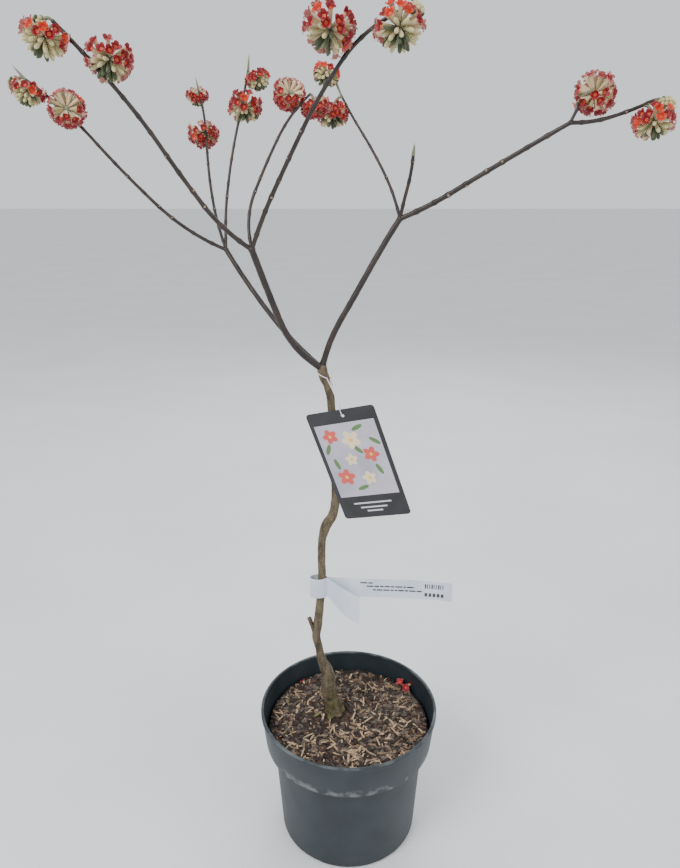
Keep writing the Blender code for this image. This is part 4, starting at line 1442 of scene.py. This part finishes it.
ground_points = []
for ring in range(MIX_RINGS):
    for point in circle(MIX_RADIUS * (ring + MIX_FIRST_RING) / MIX_RINGS, 0.0, MIX_SIDES):
        point.z = mix_height(point.x, point.y)
        ground_points.append(point)
ground_points += circle(MIX_FOOT_RADIUS, MIX_FOOT_LEVEL, MIX_SIDES)
ground_pile = Pile()
ground_pile.add(ground_points, ring_faces(MIX_RINGS + 1, MIX_SIDES))
ground_pile.make("mix_ground", materials["mix_ground"], "mix_chips", ["potting_mix"])

# %% [markdown]
# Each chip is a small broken block of its own, tilted by chance and half sunk
# in the ground. A few colours, from pale splinters to dark crumbs, do more for
# the look than any one mottled colour could.

# %% Chips
# Name, colour, count, then lengths, widths, depths and rise in millimetres.
CHIP_KINDS = (
    ("chips_pale", (0.50, 0.36, 0.225), 270, (7, 21), (1.1, 2.6), (0.7, 1.4), 2.0),
    ("chips_tan", (0.235, 0.155, 0.095), 400, (5, 15), (1.6, 4.2), (0.9, 2.0), 1.4),
    ("chips_grey", (0.110, 0.086, 0.068), 520, (4, 14), (2, 6), (1.2, 3.0), 0.8),
    ("chips_dark", (0.028, 0.017, 0.012), 1100, (3, 11), (2, 6), (1.4, 3.6), 0.4),
    ("chips_brown", (0.070, 0.035, 0.022), 260, (3, 10), (2.5, 7), (1.8, 4.2), 0.6),
    ("chips_leaf", (0.17, 0.16, 0.065), 7, (12, 20), (5, 8), (0.6, 1.0), 3.0),
)
# Mottle scale, roughness, grain scale and grain depth.
CHIP_FINISH = (420.0, 0.85, 1500.0, 0.0003)
CHIP_SHADE = 0.62
CHIP_PITCH = 14.0
CHIP_ROLL = 22.0
CHIP_END_WIDTH = (0.45, 0.55)
CHIP_END_LENGTH = (0.8, 1.0)
# Room that chips leave, with a share of their own length: pot wall and trunk.
WALL_CLEAR = (0.002, 0.45)
TRUNK_CLEAR = (0.015, 0.4)
TRUNK_FOOT = Vector((TRUNK_STATIONS[0][1], TRUNK_STATIONS[0][2], 0.0))


def add_chip(pile, centre, size, rng):
    """One broken chip: a block with its corners moved about."""
    yaw = rng.uniform(0.0, math.tau)
    pitch = math.radians(rng.gauss(0.0, CHIP_PITCH))
    roll = math.radians(rng.gauss(0.0, CHIP_ROLL))
    turn = Matrix.Rotation(yaw, 3, "Z") @ Matrix.Rotation(pitch, 3, "Y")
    turn = turn @ Matrix.Rotation(roll, 3, "X")
    least, more = CHIP_END_WIDTH
    points = []
    for x in (-1, 0, 1):
        for y, z in ((-1, -1), (1, -1), (1, 1), (-1, 1)):
            narrow = least + more * rng.random() if x else 1.0
            points.append(centre + turn @ Vector((
                x * size[0] / 2 * rng.uniform(*CHIP_END_LENGTH),
                y * size[1] / 2 * narrow,
                z * size[2] / 2 * narrow,
            )))
    pile.add(points, ring_faces(3, 4))


rng = random.Random(SEED)
for name, colour, count, lengths, widths, depths, rise_mm in CHIP_KINDS:
    pile = Pile()
    for _ in range(count):
        size = [rng.uniform(*span) * MILLIMETRE for span in (lengths, widths, depths)]
        limit = MIX_RADIUS - WALL_CLEAR[0] - size[0] * WALL_CLEAR[1]
        radius = limit * math.sqrt(rng.random())
        angle = rng.uniform(0.0, math.tau)
        x, y = radius * math.cos(angle), radius * math.sin(angle)
        clear = TRUNK_CLEAR[0] + size[0] * TRUNK_CLEAR[1]
        if (Vector((x, y, 0.0)) - TRUNK_FOOT).length < clear:
            continue
        rise = rng.uniform(0.0, 1.0) * rise_mm * MILLIMETRE
        add_chip(pile, Vector((x, y, mix_height(x, y) + rise)), size, rng)
    shade = tuple(value * CHIP_SHADE for value in colour)
    chip_wood = mottled(name, colour, shade, *CHIP_FINISH)
    pile.make(name, chip_wood, "mix_chips", ["potting_mix"], False)

# %% [markdown]
# The hang tag is stiff black card with a pale printed panel. The solid tag
# stays, and its print is a set of flat shapes raised a hair above the card,
# each layer a little further out than the one below.

# %% Printing on the tag
TAG_THICKNESS = 0.0008
TAG_FRAME = (
    Matrix.Translation((0.0100, -0.0225, 0.5300))
    @ Matrix.Rotation(math.radians(-21.0), 4, "Z")
    @ Matrix.Rotation(math.radians(11.5), 4, "X")
    @ Matrix.Rotation(math.radians(-16.0), 4, "Y")
)
LAYER = 0.00004
ELLIPSE_STEPS = 20
PETALS = 5
PETAL_REACH = 0.5
PETAL_HALF_WIDTH = 0.34


def printed(name, shapes, layer, material):
    """Flat printed shapes on the tag's front, on a given layer."""
    pile = Pile()
    front = TAG_THICKNESS / 2 + LAYER * layer
    for shape in shapes:
        outer = [TAG_FRAME @ Vector((x, -front, z)) for x, z in shape]
        inner = [TAG_FRAME @ Vector((x, -front + LAYER * layer, z)) for x, z in shape]
        pile.add(inner + outer, ring_faces(2, len(shape)))
    pile.make(name, material, "tag_card", [], False)


def rectangle(left, foot, right, top):
    """Corners of an upright rectangle."""
    return ((left, foot), (right, foot), (right, top), (left, top))


def ellipse(cx, cz, rx, rz, turn=0.0):
    """Outline of an ellipse in metres from sizes in millimetres."""
    points = []
    for step in range(ELLIPSE_STEPS):
        angle = math.tau * step / ELLIPSE_STEPS
        x, z = rx * math.cos(angle), rz * math.sin(angle)
        points.append((
            (cx + x * math.cos(turn) - z * math.sin(turn)) * MILLIMETRE,
            (cz + x * math.sin(turn) + z * math.cos(turn)) * MILLIMETRE,
        ))
    return points


def petal(cx, cz, size, index):
    """One of a flower's five petals. Each flower is turned by its own place."""
    turn = math.tau * index / PETALS + cx
    reach = size * PETAL_REACH
    return ellipse(
        cx + reach * math.cos(turn), cz + reach * math.sin(turn),
        reach, size * PETAL_HALF_WIDTH, turn,
    )


# %% [markdown]
# The picture is a plain garland of made-up flowers and leaves over three bars.
# Petals of one flower overlap, so each has its own layer.

# %% Garland
PANEL = (-0.0375, -0.041, 0.0375, 0.055)
# Places and size in millimetres, and colour.
GARLAND = (
    (-22, 40, 9.5, "coral"),
    (2, 33, 12.0, "cream"),
    (20, 12, 10.0, "coral"),
    (-6, 8, 8.0, "cream"),
    (-20, -14, 11.0, "coral"),
    (8, -18, 9.0, "cream"),
)
HEART_SIZE = 0.2
# Places in millimetres and turn.
LEAVES = (
    (-30, 24, 60), (14, 47, 20), (30, 28, -40), (6, 20, 130),
    (-26, 4, 100), (-4, -30, 15), (24, -8, -70),
)
LEAF_HALVES = (7.5, 2.6)
# Height and half length of each bar, and half its height, in millimetres.
BARS = ((-51, 24), (-57, 17), (-62, 10))
BAR_HALF_HEIGHT = 1
FIRST_PETAL_LAYER = 3
HEART_LAYER = 9

printed("tag_panel", [rectangle(*PANEL)], 1, materials["tag_panel"])
leaf_shapes = [ellipse(x, z, *LEAF_HALVES, math.radians(turn)) for x, z, turn in LEAVES]
printed("tag_leaves", leaf_shapes, 2, materials["tag_green"])
for kind in ("coral", "cream"):
    for index in range(PETALS):
        shapes = [petal(x, z, size, index) for x, z, size, which in GARLAND if which == kind]
        layer = FIRST_PETAL_LAYER + index
        printed(f"tag_{kind}_{index}", shapes, layer, materials[f"tag_{kind}"])
hearts = [ellipse(x, z, size * HEART_SIZE, size * HEART_SIZE) for x, z, size, _ in GARLAND]
printed("tag_hearts", hearts, HEART_LAYER, materials["tag_yellow"])
bars = []
for height, half in BARS:
    edges = (-half, height - BAR_HALF_HEIGHT, half, height + BAR_HALF_HEIGHT)
    bars.append(rectangle(*(edge * MILLIMETRE for edge in edges)))
printed("tag_bars", bars, 1, materials["tag_pale"])

# %% [markdown]
# The loop label is white film. Its print is plain dashes and bars, laid on the
# same folded line as the solid label's tail, so that they follow its sag.

# %% Marks on the label
LABEL_LEVEL = 0.355
LABEL_TAIL_END = 0.128
LABEL_LOCK = -0.027
LABEL_TAIL_STEPS = 8
LABEL_MIDDLE = 0.008
LABEL_STEP = 0.0012
LABEL_SWING = 0.010
LABEL_SWING_EASE = 1.5
LABEL_WAVE = 0.0016
LABEL_WAVES = 6
LABEL_HALF_FILM = 0.0003
LABEL_DROP = 0.004
# How far a mark reaches into the film and out of it.
MARK_DEPTH = -0.0001
MARK_LIFT = 0.00008
# Height of each row of dashes, and where it starts and ends.
DASH_ROWS = ((0.0062, 0.014, 0.030), (0.0016, 0.022, 0.080), (-0.0034, 0.030, 0.088))
DASH_LENGTHS = (0.003, 0.009)
DASH_HEIGHT = 0.0019
DASH_GAP = 0.0012
BLOCKS_START = 0.0945
# Number, spacing, height on the label, and a mark's width and height.
THIN_BARS = (9, 0.0027, 0.0025, 0.0011, 0.0062)
THICK_BAR_MORE = 0.0007
THICK_BAR_EVERY = 3
BLOCKS = (5, 0.0050, -0.0088, 0.0034, 0.0050)


def label_knot(step):
    """Place in plan of one fold line of the label's tail."""
    share = step / LABEL_TAIL_STEPS
    x = LABEL_TAIL_END + (LABEL_LOCK - LABEL_TAIL_END) * share
    swing = LABEL_SWING * (1 - share) ** LABEL_SWING_EASE
    swing -= LABEL_WAVE * math.sin(LABEL_WAVES * share)
    return x, LABEL_MIDDLE + LABEL_STEP - swing


def on_label(x, rise, lift):
    """Point on the front of the label's tail."""
    knots = [label_knot(step) for step in range(LABEL_TAIL_STEPS + 1)]
    for (far, far_y), (near, near_y) in zip(knots, knots[1:]):
        if near <= x <= far:
            break
    share = (x - near) / (far - near)
    drop = LABEL_DROP * (x - LABEL_LOCK) / (LABEL_TAIL_END - LABEL_LOCK)
    y = near_y + (far_y - near_y) * share - LABEL_HALF_FILM - lift
    return Vector((x, y, LABEL_LEVEL + rise - drop))


def label_mark(x, rise, width, height):
    """One plain printed mark on the label."""
    corners = rectangle(x, rise, x + width, rise + height)
    points = [on_label(a, b, lift) for lift in (MARK_DEPTH, MARK_LIFT) for a, b in corners]
    label_pile.add(points, ring_faces(2, 4))


rng = random.Random(f"{SEED} label")
label_pile = Pile()
for rise, start, end in DASH_ROWS:
    x = start
    while x < end:
        width = rng.uniform(*DASH_LENGTHS)
        label_mark(x, rise, width, DASH_HEIGHT)
        x += width + DASH_GAP
count, spacing, rise, width, height = THIN_BARS
for index in range(count):
    more = THICK_BAR_MORE * (index % THICK_BAR_EVERY == 0)
    label_mark(BLOCKS_START + index * spacing, rise, width + more, height)
count, spacing, rise, width, height = BLOCKS
for index in range(count):
    label_mark(BLOCKS_START + index * spacing, rise, width, height)
label_pile.make("label_print", materials["label_ink"], "label_film", [], False)

# %% [markdown]
# The solid tag, string and label are thin and plain enough to show as they
# are. Only their materials are exchanged.

# %% Kept solids
KEPT = {"hang_tag": "tag_card", "tag_string": "string_white", "loop_label": "label_film"}

for node, finish in KEPT.items():
    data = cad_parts[node].data
    if data.materials:
        data.materials[0] = materials[finish]
    else:
        data.materials.append(materials[finish])
print("kept solids", list(KEPT))

# %% [markdown]
# A pale floor carries the pot. It belongs to the stage and not to the plant.

# %% Floor and finish
FLOOR_SIZE = 60.0
FLOOR_FINISH = ((0.76, 0.77, 0.78), (0.72, 0.73, 0.74), 3.0, 0.8, 200.0, 0.0005)

floor_mesh = bpy.data.meshes.new("floor")
half = FLOOR_SIZE / 2
corners = rectangle(-half, -half, half, half)
floor_mesh.from_pydata([(x, y, 0.0) for x, y in corners], [], [(0, 1, 2, 3)])
floor_mesh.materials.append(mottled("floor", *FLOOR_FINISH))
floor = put("floor", floor_mesh)
